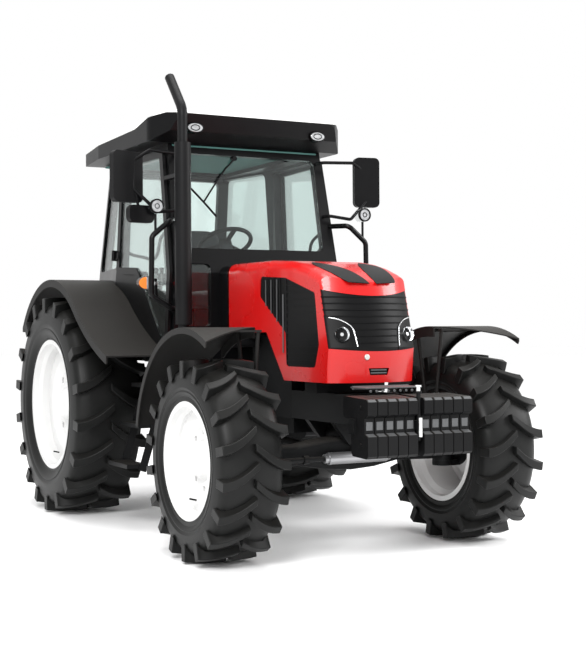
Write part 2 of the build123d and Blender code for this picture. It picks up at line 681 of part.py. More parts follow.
# lift rods: pinned to the lift arms, opened at their lower eyes beside the link's pin
rod_low = (lift_eye_x + 8, rod_foot[0], rod_foot[1] + 44)
with BuildPart() as lift_rod_left:
    rod((lift_eye_x - 40, arm_end[0], arm_end[1]), (lift_eye_x + 40, arm_end[0], arm_end[1]), 15)
    for way in (-1, 1):
        side_x = lift_eye_x + way * 33
        rod((side_x - 7, arm_end[0], arm_end[1]), (side_x + 7, arm_end[0], arm_end[1]), 24)
        bar((side_x, arm_end[0], arm_end[1]), (side_x, arm_end[0] - 4, arm_end[1] - 66), (14, 30))
    bar((lift_eye_x - 40, arm_end[0] - 4, arm_end[1] - 62),
        (lift_eye_x + 40, arm_end[0] - 4, arm_end[1] - 62),
        (30, 22), side=(0, 1, 0))
    rod((lift_eye_x, arm_end[0] - 4, arm_end[1] - 70), (lift_eye_x, rod_low[1] + 20, rod_low[2] + 140), 15)
    rod((lift_eye_x, rod_low[1] + 24, rod_low[2] + 170), rod_low, 22)
write(pair(lift_rod_left), "lift_rods")

with BuildPart() as top_link:
    pin = Vector(*top_link_pin)
    along = Vector(0, cos(radians(top_link_slope)), sin(radians(top_link_slope)))
    rod((-44, *top_link_pin[1:]), (44, *top_link_pin[1:]), top_pin_radius)
    rod((-21, *top_link_pin[1:]), (21, *top_link_pin[1:]), 27)
    rod(tuple(pin + along * 20), tuple(pin + along * (top_link_length - 20)), 17)
    rod(tuple(pin + along * 140), tuple(pin + along * 430), 25)
    tip = tuple(pin + along * top_link_length)
    rod((-22, *tip[1:]), (22, *tip[1:]), 34)
    rod((-30, *tip[1:]), (30, *tip[1:]), top_link_bore, mode=Mode.SUBTRACT)
write(top_link, "top_link")

# ---- cab -------------------------------------------------------------------------
side_plane = Plane((606, -247, 1700), x_dir=(0.054, 1, 0), z_dir=(1, -0.054, 0.045))
quarter_plane = Plane((655, 655, 1900), x_dir=(-0.18, 1, 0), z_dir=(1, 0.18, 0.08))
windshield_plane = Plane((0, -247, 1700), x_dir=(1, 0, 0), z_dir=(0, -1, 0.2346))
front_wall_plane = Plane((0, front_wall_y, 1700), x_dir=(1, 0, 0), z_dir=(0, -1, 0))
rear_plane = Plane((0, 1445, 1900), x_dir=(-1, 0, 0), z_dir=(0, 1, 0.206))
rear_wall_plane = Plane((0, 1490, 1300), x_dir=(-1, 0, 0), z_dir=(0, 1, 0))
inner_inset = frame_inset + wall


def mirrored_plane(plane):
    """The same face on the right side of the cab."""
    normal = plane.z_dir
    return Plane((-plane.origin.X, plane.origin.Y, plane.origin.Z),
                 x_dir=(-plane.x_dir.X, plane.x_dir.Y, 0),
                 z_dir=(-normal.X, normal.Y, normal.Z))


def cab_form(inset, bottom=floor_z, top=eaves_z):
    """Solid inside the cab's faces, each moved inwards by inset."""
    faces = [side_plane, quarter_plane, mirrored_plane(side_plane), mirrored_plane(quarter_plane),
             windshield_plane, front_wall_plane, rear_plane, rear_wall_plane]
    with BuildPart() as form:
        with BuildSketch(Plane.XY.offset(bottom)):
            with Locations((0, 600)):
                Rectangle(1800, 2400)
        extrude(amount=top - bottom)
        for face in faces:
            split(bisect_by=face.offset(-inset), keep=Keep.BOTTOM)
    return form.part


def prism_x(points, x0, x1, corner=0.0, inset=0.0):
    """Outline in (y, z) with rounded corners, moved inwards by inset, from x0 to x1."""
    with BuildPart() as block:
        with BuildSketch(Plane.YZ.offset(x0)):
            with BuildLine():
                Polyline(*points, close=True)
            make_face()
            if corner:
                fillet(vertices(), radius=corner)
            if inset:
                offset(amount=-inset, mode=Mode.REPLACE)
        extrude(amount=x1 - x0)
    return block.part


def prism_y(points, y0, y1, corner=0.0, inset=0.0):
    """Outline in (x, z) with rounded corners, moved inwards by inset, from y0 to y1."""
    with BuildPart() as block:
        with BuildSketch(Plane.XZ.offset(-y0)):
            with BuildLine():
                Polyline(*points, close=True)
            make_face()
            if corner:
                fillet(vertices(), radius=corner)
            if inset:
                offset(amount=-inset, mode=Mode.REPLACE)
        extrude(amount=y0 - y1)
    return block.part


def screen_y(z):
    """Where the windshield's plane stands at a height."""
    return -247 + 0.2346 * (z - 1700)


def rear_y(z):
    """Where the rear window's plane stands at a height."""
    return 1445 - 0.206 * (z - 1900)


door_outline = ((front_wall_y + post, door_bottom_z), (front_wall_y + post, 1640),
                (screen_y(2430) + post, 2430),
                (door_rear_y - 8, 2430), (door_rear_y, 1655), (345, 1640), (-85, door_bottom_z))
quarter_outline = ((door_rear_y + 80, 1700), (door_rear_y + 62, 2415), (rear_y(2415) - 70, 2415),
                   (rear_y(1700) - 70, 1700))

with BuildPart() as arches:
    for way in (-1, 1):
        rod((way * arch_inner_x, rear_axle_y, rear_wheel["radius"]),
            (way * 1100, rear_axle_y, rear_wheel["radius"]),
            arch_radius + seat_gap)


hinge_direction = side_plane.y_dir
hinge_plane = Plane(side_plane.origin + side_plane.x_dir * (door_hinge_y + 247) / 1.0015 + side_plane.z_dir * 18,
                    x_dir=side_plane.x_dir, z_dir=hinge_direction)


def hinge_block(height, x0, x1, y0, y1, z0, z1):
    """A block in the hinge's own frame: x rearwards, y inwards from the pin, z along the pin."""
    with BuildPart() as block:
        with BuildSketch(hinge_plane.offset(height + z0)):
            with Locations(((x0 + x1) / 2, (y0 + y1) / 2)):
                Rectangle(x1 - x0, y1 - y0)
        extrude(amount=z1 - z0)
    return block.part


def hinge_disc(height, radius, z0, z1):
    with BuildPart() as disc:
        with BuildSketch(hinge_plane.offset(height + z0)):
            Circle(radius)
        extrude(amount=z1 - z0)
    return disc.part


with BuildPart() as cab_frame:
    add(cab_form(frame_inset))
    add(cab_form(inner_inset, bottom=floor_z - 10, top=eaves_z - 50), mode=Mode.SUBTRACT)
    # roof ring stays open above the headliner
    with BuildSketch(Plane.XY.offset(eaves_z - 60)):
        with Locations((0, 610)):
            Rectangle(820, 1150)
    extrude(amount=80, mode=Mode.SUBTRACT)
    for way in (-1, 1):
        add(prism_x(door_outline, 300 if way > 0 else -900, 900 if way > 0 else -300, door_corner,
                    door_overlap),
            mode=Mode.SUBTRACT)
        add(prism_x(quarter_outline, 300 if way > 0 else -900, 900 if way > 0 else -300, 40),
            mode=Mode.SUBTRACT)
    add(prism_y(windshield_outline, -400, 200, 40), mode=Mode.SUBTRACT)
    for way in (-1, 1):
        add(prism_y([(way * x, z) for x, z in lower_pane_outline], -400, 0, 30), mode=Mode.SUBTRACT)
    add(prism_y(rear_outline, 1200, 1800, 40), mode=Mode.SUBTRACT)
    add(arches.part, mode=Mode.SUBTRACT)
    # hinge pins and their brackets on the rear door posts
    for height in hinge_heights:
        left_hinge = [hinge_disc(height, hinge_pin, -14, barrel_length + 14)]
        for z0, z1 in ((-14, -running_gap), (barrel_length + running_gap, barrel_length + 14)):
            left_hinge += [hinge_disc(height, hinge_barrel, z0, z1),
                           hinge_block(height, -10, 12, 0, 62, z0, z1)]
        for piece in left_hinge:
            add(piece)
            add(mirror(piece, about=Plane.YZ, mode=Mode.PRIVATE))
    # cowl between the cab and the hood, with the hood's hinge pins
    with BuildSketch(Plane.XZ.offset(-cowl_y)):
        with Locations((0, (1676 + side_edge_z) / 2)):
            Rectangle(2 * hood_half - 8, 1676 - side_edge_z)
        fillet(vertices().group_by(Axis.Y)[-1], radius=56)
    extrude(amount=cowl_y - front_wall_y - frame_inset - 1)
    for way in (-1, 1):
        for x in (way * hood_ear_x - 14, way * hood_ear_x + 14):
            rod((x - 5, hood_pivot_y, hood_pivot_z), (x + 5, hood_pivot_y, hood_pivot_z), 12)
            side_profile(((cowl_y + 2, hood_pivot_z + 11), (hood_pivot_y, hood_pivot_z + 11),
                          (hood_pivot_y, hood_pivot_z - 12), (cowl_y + 2, hood_pivot_z - 40)), x - 5, x + 5)
        rod((way * hood_ear_x - 19, hood_pivot_y, hood_pivot_z),
            (way * hood_ear_x + 19, hood_pivot_y, hood_pivot_z),
            hood_pin)
write(cab_frame, "cab_frame")

with BuildPart() as cab_floor:
    add(cab_form(inner_inset + seat_gap, bottom=floor_z, top=floor_z + floor_thickness))
    add(arches.part, mode=Mode.SUBTRACT)
write(cab_floor, "cab_floor")

with BuildPart() as glass_shell:
    add(cab_form(frame_inset + glass_inset, bottom=floor_z, top=eaves_z))
    add(cab_form(frame_inset + glass_inset + glass_thickness, bottom=floor_z, top=eaves_z),
        mode=Mode.SUBTRACT)


def fixed_pane(opening):
    """A pane cut from the glass shell to fit its opening."""
    with BuildPart() as pane:
        add(glass_shell.part)
        add(opening, mode=Mode.INTERSECT)
    return pane.part


panes = [fixed_pane(prism_y(windshield_outline, -400, 200, 40)),
         fixed_pane(prism_y(rear_outline, 1200, 1800, 40))]
for way in (-1, 1):
    panes.append(fixed_pane(prism_x(quarter_outline, 300 if way > 0 else -900, 900 if way > 0 else -300,
                                    40)))
    panes.append(fixed_pane(prism_y([(way * x, z) for x, z in lower_pane_outline], -400, 0, 30)))
with BuildPart() as cab_windows:
    for pane in panes:
        add(pane)
write(cab_windows, "cab_windows")

# doors: a ring round one pane, hung on pins behind the door's rear edge
door_in = frame_inset - moving_gap      # inner face of the door
with BuildPart() as door_shell:
    add(cab_form(door_out, bottom=floor_z, top=eaves_z))
    add(cab_form(door_in, bottom=floor_z - 10, top=eaves_z + 10), mode=Mode.SUBTRACT)

with BuildPart() as door_left_frame:
    add(door_shell.part)
    with BuildPart(mode=Mode.PRIVATE) as ring:
        add(prism_x(door_outline, 300, 900, door_corner))
        add(prism_x(door_outline, 300, 900, door_corner, door_ring), mode=Mode.SUBTRACT)
    add(ring.part, mode=Mode.INTERSECT)
    for height in hinge_heights:
        add(hinge_disc(height, hinge_barrel, 0, barrel_length))
        add(hinge_block(height, -64, 0, 7, 15, 0, barrel_length))
    for height in hinge_heights:
        add(hinge_disc(height, hinge_pin + 0.05, -5, barrel_length + 5), mode=Mode.SUBTRACT)
write(door_left_frame, "door_left_frame")
write(twin(door_left_frame), "door_right_frame")
with BuildPart() as door_left_glass:
    add(cab_form(door_out + 8, bottom=floor_z, top=eaves_z))
    add(cab_form(door_out + 8 + glass_thickness, bottom=floor_z - 10, top=eaves_z + 10), mode=Mode.SUBTRACT)
    add(prism_x(door_outline, 300, 900, door_corner, door_ring), mode=Mode.INTERSECT)
write(door_left_glass, "door_left_glass")
write(twin(door_left_glass), "door_right_glass")

# roof: black visor and rim below, white cap above
roof_plan = ((-560, roof_front_y), (560, roof_front_y), (700, -60), (702, 900), (640, roof_rear_y),
             (-640, roof_rear_y), (-702, 900), (-700, -60))
visor_side = ((-62, roof_z - 24), (roof_front_y + 62, roof_z + 34), (roof_front_y, roof_z + 140),
              (roof_front_y + 90, roof_z + 150), (180, roof_z + 84), (roof_rear_y + 20, roof_z + 62),
              (roof_rear_y + 20, roof_z), (1340, roof_z - 24))
cap_side = ((roof_front_y + 70, roof_z + 60), (roof_front_y + 74, roof_z + 158), (60, roof_z + 222),
            (700, roof_z + 232), (1250, roof_z + 180), (roof_rear_y - 14, roof_z + 96),
            (roof_rear_y - 14, roof_z + 20))
cap_front = ((-690, roof_z), (-690, roof_z + 96), (-560, roof_z + 190), (-330, roof_z + 232),
             (330, roof_z + 232),
             (560, roof_z + 190), (690, roof_z + 96), (690, roof_z))


def roof_block(inset, corner):
    with BuildPart() as block:
        with BuildSketch(Plane.XY.offset(roof_z - 40)):
            with BuildLine():
                Polyline(*roof_plan, close=True)
            make_face()
            fillet(vertices(), radius=corner)
            if inset:
                offset(amount=-inset, mode=Mode.REPLACE)
        extrude(amount=400)
    return block.part


def roof_lamp(way, grow):
    """Oval lamp let into the roof's front."""
    with BuildPart() as block:
        with BuildSketch(Plane.XZ.offset(-roof_front_y - 34)):
            with Locations((way * 444, roof_z + 56)):
                Ellipse(58 + grow, 34 + grow)
        extrude(amount=-60 - grow)
    return block.part


with BuildPart() as roof_visor:
    add(roof_block(0, 90))
    add(prism_x(visor_side, -800, 800), mode=Mode.INTERSECT)
    add(cab_form(frame_inset - seat_gap, bottom=eaves_z - 100, top=eaves_z + seat_gap), mode=Mode.SUBTRACT)
    for way in (-1, 1):
        add(roof_lamp(way, seat_gap), mode=Mode.SUBTRACT)
with BuildPart() as roof_cap:
    add(roof_block(12, 90))
    add(prism_x(cap_side, -800, 800), mode=Mode.INTERSECT)
    add(prism_y(cap_front, roof_front_y - 40, roof_rear_y + 40), mode=Mode.INTERSECT)
    add(roof_visor.part, mode=Mode.SUBTRACT)
    for way in (-1, 1):
        add(roof_lamp(way, 1), mode=Mode.SUBTRACT)
write(roof_visor, "roof_visor")
write(roof_cap, "roof_cap")

# rear fenders: arc over the tyre that runs forward to the step
fender_x1 = rear_wheel["track"] + 202


def fender_block(drop, x0, x1):
    """Solid under the fender's outer line lowered by drop, from x0 to x1."""
    with BuildPart() as block:
        with BuildSketch(Plane.YZ.offset(x0)):
            with BuildLine():
                arc = CenterArc((rear_axle_y, rear_wheel["radius"]), arch_radius - drop, arc_start,
                                arc_end - arc_start)
                down = TangentArc(arc @ 1, (fender_front[0], fender_front[1] - drop), tangent=arc % 1)
                past = 90 if drop else 0        # cutting blocks run past the ends of the skin
                corners = [down @ 1]
                if past:
                    corners += [(fender_front[0] - past, fender_front[1] - drop)]
                corners += [(fender_front[0] - past, 900 - past), ((arc @ 0).X + past, 900 - past)]
                if past:
                    corners += [((arc @ 0).X + past, (arc @ 0).Y)]
                Polyline(*corners, arc @ 0)
            make_face()
        extrude(amount=x1 - x0)
    return block.part


def arch_block(radius, x0, x1):
    """Solid under the wheel arch inside the cab, above the floor."""
    with BuildPart() as block:
        with BuildSketch(Plane.YZ.offset(x0)):
            with Locations((rear_axle_y, rear_wheel["radius"])):
                Circle(radius)
            with Locations((rear_axle_y, floor_z - 500)):
                Rectangle(4000, 1000, mode=Mode.SUBTRACT)
        extrude(amount=x1 - x0)
    return block.part


with BuildPart() as rear_fender_left:
    with BuildPart(mode=Mode.PRIVATE) as inner_arch:
        add(arch_block(arch_radius, arch_inner_x, 760))
        add(arch_block(arch_radius - arch_skin, arch_inner_x + arch_skin, 780), mode=Mode.SUBTRACT)
        add(cab_form(frame_inset - seat_gap, bottom=floor_z), mode=Mode.INTERSECT)
    add(fender_block(0, 600, fender_x1))
    add(fender_block(arch_skin, 590, fender_x1 - arch_skin), mode=Mode.SUBTRACT)
    add(fender_block(arch_skin + fender_lip, 590, fender_x1 + 10), mode=Mode.SUBTRACT)
    add(cab_form(frame_inset - seat_gap, bottom=800), mode=Mode.SUBTRACT)
    add(inner_arch.part)
write(pair(rear_fender_left), "rear_fenders")

# ---- hood ------------------------------------------------------------------------
hood_stations = (hood_rear_y, -900, -1150, -1300, -1420, -1530, -1630, nose_y - 50)


def hood_top(y):
    """Height of the hood's crown, which falls away towards the nose."""
    return hood_rear_z - hood_drop * ((hood_rear_y - y) / (hood_rear_y - nose_y)) ** 4.3


def hood_side(y):
    """Half width of the hood."""
    return hood_half - (hood_half - hood_front_half) * (hood_rear_y - y) / (hood_rear_y - nose_y)


def nose_outline(inset):
    """Plan of the nose where it is foremost, with rounded corners, and of the hood behind it."""
    corner_x = hood_front_half + 8 - inset
    corner_y = nose_corner_y + inset
    rear_x = hood_half + 12 - inset
    with BuildSketch(Plane.XY.offset(nose_break_z)) as outline:
        with BuildLine():
            ThreePointArc((corner_x, corner_y), (0, nose_y + inset), (-corner_x, corner_y))
            Polyline((-corner_x, corner_y), (-rear_x, 400), (rear_x, 400), (corner_x, corner_y))
        make_face()
        fillet(outline.vertices().group_by(Axis.Y)[0], radius=46 - inset)
    return outline.sketch


def hood_form(inset):
    """The hood's outside moved inwards by inset, open towards the ground and the cab when inset."""
    past = 60 if inset > 0 else 0
    low = nose_edge_z - past
    sections = []
    for y in hood_stations:
        top = hood_top(y) - inset
        with BuildSketch(Plane.XZ.offset(-y - (past if y == hood_rear_y else 0))) as section:
            with Locations((0, (top + low) / 2)):
                Rectangle(2 * (hood_side(y) - inset), top - low)
            fillet(section.vertices().group_by(Axis.Y)[-1], radius=60 - inset)
        sections.append(section.sketch)
    with BuildPart() as form:
        loft(sections, ruled=True)
        with BuildPart(mode=Mode.PRIVATE) as nose:
            for lean, rise in ((nose_lean, hood_rear_z + 60 - nose_break_z),
                               (chin_lean, low - 10 - nose_break_z)):
                slant = Vector(0, lean * abs(rise), rise)
                extrude(nose_outline(inset), amount=slant.length, dir=slant.normalized())
        add(nose.part, mode=Mode.INTERSECT)
    return form.part


hood_side_cut = ((-1130, 800), (-1130, nose_edge_z), (-905, side_edge_z), (-250, side_edge_z), (-250, 800))
side_grille = ((-832, 1585), (-822, 1462), (-1150, 1248), (-1160, 1052), (-1500, 1052), (-1546, 1180),
               (-1500, 1470), (-1150, 1566))
opening_rear = Plane((0, nose_corner_y + 4, nose_break_z), x_dir=(1, 0, 0), z_dir=(0, 1, -nose_lean))


def hood_skin(outer, inner):
    with BuildPart() as skin:
        add(hood_form(outer))
        add(hood_form(inner), mode=Mode.SUBTRACT)
    return skin.part


def nose_opening():
    """Space of the front grille, with bowed upper and lower edges, back to the leaning corners."""
    with BuildPart() as block:
        with BuildSketch(Plane.XZ.offset(1860)):
            with BuildLine():
                ThreePointArc((-opening_half, opening_top[0]), (0, opening_top[1]),
                              (opening_half, opening_top[0]))
                Line((opening_half, opening_top[0]), (opening_half, opening_bottom[0]))
                ThreePointArc((opening_half, opening_bottom[0]), (0, opening_bottom[1]),
                              (-opening_half, opening_bottom[0]))
                Line((-opening_half, opening_bottom[0]), (-opening_half, opening_top[0]))
            make_face()
        extrude(amount=-400)
        split(bisect_by=opening_rear, keep=Keep.BOTTOM)
    return block.part


def lamp_prism(way, grow):
    """Space of one headlamp, in the lower corner of the nose's opening."""
    block = prism_y(lamp_outline, -1860, -1480, 0, -grow)
    return mirror(block, about=Plane.YZ, mode=Mode.PRIVATE) if way < 0 else block


with BuildPart() as hood_shell:
    add(hood_form(0))
    add(hood_form(hood_wall), mode=Mode.SUBTRACT)
    add(prism_x(hood_side_cut, -400, 400), mode=Mode.SUBTRACT)
    add(prism_x(side_grille, -400, 400, 26), mode=Mode.SUBTRACT)
    add(nose_opening(), mode=Mode.SUBTRACT)
    add(prism_y(nose_slot, -1850, -1600), mode=Mode.SUBTRACT)
    # ears on the hinge pins
    for way in (-1, 1):
        rod((way * hood_ear_x - 6, hood_pivot_y, hood_pivot_z),
            (way * hood_ear_x + 6, hood_pivot_y, hood_pivot_z), 12)
        side_profile(((hood_pivot_y - 90, 1678), (hood_pivot_y + 0, 1678),
                      (hood_pivot_y, hood_pivot_z - 11),
                      (hood_pivot_y - 12, hood_pivot_z - 11)), way * hood_ear_x - 6, way * hood_ear_x + 6)
        rod((way * hood_ear_x - 9, hood_pivot_y, hood_pivot_z),
            (way * hood_ear_x + 9, hood_pivot_y, hood_pivot_z),
            hood_pin + 0.05, mode=Mode.SUBTRACT)
write(hood_shell, "hood_shell")

with BuildPart() as grille_space:
    add(nose_opening())
    for way in (-1, 1):
        add(lamp_prism(way, 0.3), mode=Mode.SUBTRACT)
with BuildPart() as grille_bar_rings:
    with BuildSketch(Plane.XY.offset(nose_break_z)) as bar_outline:
        add(nose_outline(0.5))
        add(nose_outline(5), mode=Mode.SUBTRACT)
    for step in range(grille_bars):
        rise = 24 + step * grille_pitch
        extrude(Pos(0, rise * nose_lean, rise) * bar_outline.sketch, amount=7)
    add(grille_space.part, mode=Mode.INTERSECT)
with BuildPart() as front_grille:
    add(hood_skin(3.5, 14))
    add(grille_space.part, mode=Mode.INTERSECT)
    add(grille_bar_rings.part)
write(front_grille, "front_grille")

with BuildPart() as headlamps:
    add(hood_skin(1, 30))
    with BuildPart(mode=Mode.PRIVATE) as corners:
        for way in (-1, 1):
            add(lamp_prism(way, 0))
    add(corners.part, mode=Mode.INTERSECT)
    add(nose_opening(), mode=Mode.INTERSECT)
write(headlamps, "headlamps")

with BuildPart() as side_grilles:
    add(hood_skin(3.5, 10))
    with BuildPart(mode=Mode.PRIVATE) as ribs:
        add(hood_skin(0, 5))
        with BuildPart(mode=Mode.PRIVATE) as slats:
            # upright louvres behind the bar, level fins ahead of it
            for y, width in ((-1166, 30), (-1090, 16), (-1015, 16), (-940, 16)):
                side_profile(((y, 1000), (y, 1700), (y + width, 1700), (y + width, 1000)), -300, 300)
            for step in range(12):
                z = 1080 + step * 40
                side_profile(((-1560, z), (-1560, z + 9), (-1150, z + 9), (-1150, z)), -300, 300)
        add(slats.part, mode=Mode.INTERSECT)
    add(ribs.part)
    add(prism_x(side_grille, -400, 400, 26), mode=Mode.INTERSECT)
write(side_grilles, "side_grilles")

# ---- inside the cab -----------------------------------------------------------------
deck_z = floor_z + floor_thickness + seat_gap
column_axis = Vector(0, sin(radians(column_lean)), cos(radians(column_lean)))

with BuildPart() as seat_base:
    side_profile(((seat_y - 150, deck_z), (seat_y - 190, 1330), (seat_y - 210, 1410), (seat_y + 230, 1410),
                  (seat_y + 220, 1330), (seat_y + 190, deck_z)), -170, 170)
    # back frame and armrest posts
    for way in (-1, 1):
        side_profile(((seat_y + 238, 1380), (seat_y + 252, 1420), (seat_y + 322, 1900),
                      (seat_y + 340, 1900),
                      (seat_y + 278, 1380)), way * 120, way * 160)
        side_profile(((seat_y - 60, 1618), (seat_y + 280, 1618), (seat_y + 280, 1580), (seat_y - 60, 1590)),
                     way * 262, way * 312)
        side_profile(((seat_y + 180, 1380), (seat_y + 180, 1590), (seat_y + 230, 1590),
                      (seat_y + 230, 1380)),
                     way * 262, way * 284)
    side_profile(((seat_y + 180, 1380), (seat_y + 230, 1380), (seat_y + 230, 1408), (seat_y + 180, 1408)),
                 -284, 284)
    side_profile(((seat_y + 215, 1380), (seat_y + 278, 1380), (seat_y + 278, 1408), (seat_y + 215, 1408)),
                 -160, 160)
write(seat_base, "seat_base")

with BuildPart() as seat_cushions:
    add(prism_x(((seat_y - 240, 1410 + seat_gap), (seat_y - 250, 1500), (seat_y + 160, 1520),
                 (seat_y + 170, 1410 + seat_gap)),
                -245, 245, 30))
    add(prism_x(((seat_y + 176, 1440), (seat_y + 140, 1530), (seat_y + 214, 2000), (seat_y + 300, 2000),
                 (seat_y + 248, 1440)), -225, 225, 30))
write(seat_cushions, "seat_cushions")

inner_front = front_wall_y + inner_inset + 1
with BuildPart() as cab_consoles:
    # instrument binnacle and steering column
    side_profile(((inner_front, 1180), (inner_front, 1600), (-146, 1700), (-60, 1712), (10, 1660),
                  (-20, 1600), (-60, 1180)), -230, 230)
    side_profile(((-150, deck_z), (-150, 1185), (-70, 1185), (-70, deck_z)), -120, 120)
    hub = Vector(*wheel_centre)
    rod(tuple(hub - column_axis * 720), tuple(hub - column_axis * 26), 32)
    rod(tuple(hub - column_axis * 120), tuple(hub - column_axis * 26), 44)
    # levers' console on the right, tray on the left
    side_profile(((seat_y - 330, 1380), (seat_y - 330, 1520), (seat_y + 230, 1560), (seat_y + 230, 1380)),
                 -470, -330)
    side_profile(((seat_y - 300, deck_z), (seat_y - 300, 1385), (seat_y + 200, 1385),
                  (seat_y + 200, deck_z)), -470, -400)
    side_profile(((seat_y - 60, deck_z), (seat_y - 60, 1500), (seat_y + 260, 1500),
                  (seat_y + 260, deck_z)), 360, 480)
write(cab_consoles, "cab_consoles")

with BuildPart() as steering_wheel:
    wheel_plane = Plane(wheel_centre, x_dir=(1, 0, 0), z_dir=column_axis)
    with BuildSketch(Plane(wheel_centre, x_dir=(1, 0, 0), z_dir=wheel_plane.y_dir)):
        with Locations((wheel_radius - 15, 0)):
            Circle(15)
    revolve(axis=Axis(wheel_centre, column_axis))
    with BuildSketch(wheel_plane.offset(-26 + running_gap)):
        Circle(46)
    extrude(amount=44)
    for angle in (-90, 30, 150):
        with BuildSketch(wheel_plane.offset(-8)):
            with PolarLocations((wheel_radius - 15) / 2, 1, start_angle=angle):
                Rectangle(wheel_radius - 15, 34)
        extrude(amount=10)
write(steering_wheel, "steering_wheel")

# ---- outside of the cab ----------------------------------------------------------------
with BuildPart() as exhaust_stack:
    bent_tube(((-engine_half - seat_gap, -560, 1190), (-400, -560, 1190), (exhaust_x, exhaust_y, 1200),
               (exhaust_x, exhaust_y, 1500)), 34, 60)
    rod((exhaust_x, exhaust_y, 1300), (exhaust_x, exhaust_y, 2430), 52)
    bent_tube(((exhaust_x, exhaust_y, 2420), (exhaust_x, exhaust_y, 2640), (exhaust_x, -185, 2870)), 31,
              120)
    with BuildSketch(Plane((exhaust_x, -185, 2870), z_dir=Vector(0, 205, 230).normalized())):
        Circle(27)
    extrude(amount=-60, mode=Mode.SUBTRACT)
    # brackets to the cab's front posts
    for z in (1480, 2240):
        bar((exhaust_x + 12, exhaust_y, z), (exhaust_x + 12,
                                             max(front_wall_y, screen_y(z - 12)) + frame_inset - seat_gap,
                                             z), (40, 24))
write(exhaust_stack, "exhaust_stack")

with BuildPart() as step_left:
    for step in range(step_count):
        x = step_x - step * step_lean
        z = step_bottom + step * step_rise
        with BuildSketch(Plane.XY.offset(z)):
            with Locations((x - 65, step_y0 + step_length / 2)):
                Rectangle(130, step_length)
        extrude(amount=26)
    for y in (step_y0 - 8, step_y0 + step_length):
        bar((step_x - 100, y + 4, step_bottom - 20),
            (step_x - 100 - 2.54 * step_lean, y + 4, step_bottom + 2.54 * step_rise),
            (50, 8))
    # hangers under the floor
    for y in (step_y0 - 8, step_y0 + step_length):
        bar((step_x - 110 - 2.62 * step_lean, y + 4, floor_z - 22 - seat_gap),
            (500, y + 4, floor_z - 22 - seat_gap), (44, 8), side=(0, 0, 1))
write(pair(step_left), "steps")

with BuildPart() as fuel_tank:
    side_profile(((-330, 560), (-360, 620), (-360, 960), (-300, 1000), (330, 1000), (330, 760),
                  (180, 560)), 250, 586)
    fillet(edges().filter_by(Axis.X), radius=45)
    for y in (-100, 30):
        side_profile(((y, 1000), (y, floor_z - seat_gap), (y + 50, floor_z - seat_gap), (y + 50, 1000)),
                     300, 480)
write(fuel_tank, "fuel_tank")
with BuildPart() as battery_box:
    side_profile(((-330, 640), (-330, 1000), (60, 1000), (60, 640)), -586, -260)
    fillet(edges().filter_by(Axis.X), radius=22)
    for y in (-150, -20):
        side_profile(((y, 1000), (y, floor_z - seat_gap), (y + 50, floor_z - seat_gap), (y + 50, 1000)),
                     -480, -300)
write(battery_box, "battery_box")

with BuildPart() as handrail:
    bent_tube(((550, -110, 1965), (640, rail_y, 1960), (772, rail_y, 1850), (778, rail_y, 1480),
               (640, rail_y, 1400), (570, -200, 1395)), rail_radius, 45)
    rod((748, rail_y, 1880), (748, rail_y, work_lamp_z - work_lamp_radius - seat_gap), 8)
    add(cab_form(frame_inset - seat_gap), mode=Mode.SUBTRACT)
write(pair(handrail), "handrails")

with BuildPart() as mirrors:
    # (x of the middle, y, z of the middle, width, height, turn about Z)
    heads = ((-900, -165, 2225, 215, 320, 12), (-810, -165, 1995, 180, 110, 12),
             (850, -165, 2270, 180, 340, -12))
    for x, y, z, wide, tall, turn in heads:
        with BuildSketch(Plane((x, y, z), x_dir=(cos(radians(turn)), sin(radians(turn)), 0),
                               z_dir=(sin(radians(turn)), -cos(radians(turn)), 0))):
            RectangleRounded(wide, tall, 34)
        extrude(amount=45)
    for way in (-1, 1):
        bent_tube(((way * 522, -20, 2395), (way * 522, -150, 2395), (way * 740, -190, 2400),
                   (way * 850, -190, 2330), (way * 850, -190, 2180)), 11, 30)
        bent_tube(((way * 535, -110, 2030), (way * 535, -215, 2030), (way * 700, -225, 2010),
                   (way * 850, -195, 2150), (way * 850, -190, 2250)), 11, 30)
    rod((-850, -190, 2200), (-812, -190, 2010), 9)
    add(cab_form(frame_inset - seat_gap), mode=Mode.SUBTRACT)
write(mirrors, "mirrors")

with BuildPart() as mirror_glass:
    for x, y, z, wide, tall, turn in heads:
        face = Plane((x, y, z), x_dir=(cos(radians(turn)), sin(radians(turn)), 0),
                     z_dir=(-sin(radians(turn)), cos(radians(turn)), 0))
        with BuildSketch(face.offset(seat_gap)):
            RectangleRounded(wide - 22, tall - 22, 26)
        extrude(amount=3)
write(mirror_glass, "mirror_glass")

tail_y = rear_axle_y + arch_radius * cos(radians(arc_start)) + seat_gap
with BuildPart() as cab_lamps:
    for way in (-1, 1):
        # roof lamps, work lamps on the rails, side markers, rear lamps on the fenders
        add(roof_lamp(way, 0))
        rod((way * 748, rail_y - 30, work_lamp_z), (way * 748, rail_y + 35, work_lamp_z), work_lamp_radius)
        with BuildSketch(Plane.XZ.offset(-rail_y - rail_radius - seat_gap)):
            with Locations((way * 800, 1560)):
                Ellipse(54, 40)
        extrude(amount=-42)
        bar((way * 560, front_wall_y + frame_inset - 6 - seat_gap, 1560),
            (way * 760, front_wall_y + frame_inset - 6 - seat_gap, 1560), (20, 12), side=(0, 0, 1))
        with BuildSketch(Plane.XZ.offset(-tail_y)):
            with Locations((way * 880, 1262)):
                RectangleRounded(230, 96, 20)
        extrude(amount=-38)
write(cab_lamps, "cab_lamps")
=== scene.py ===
import json
import math

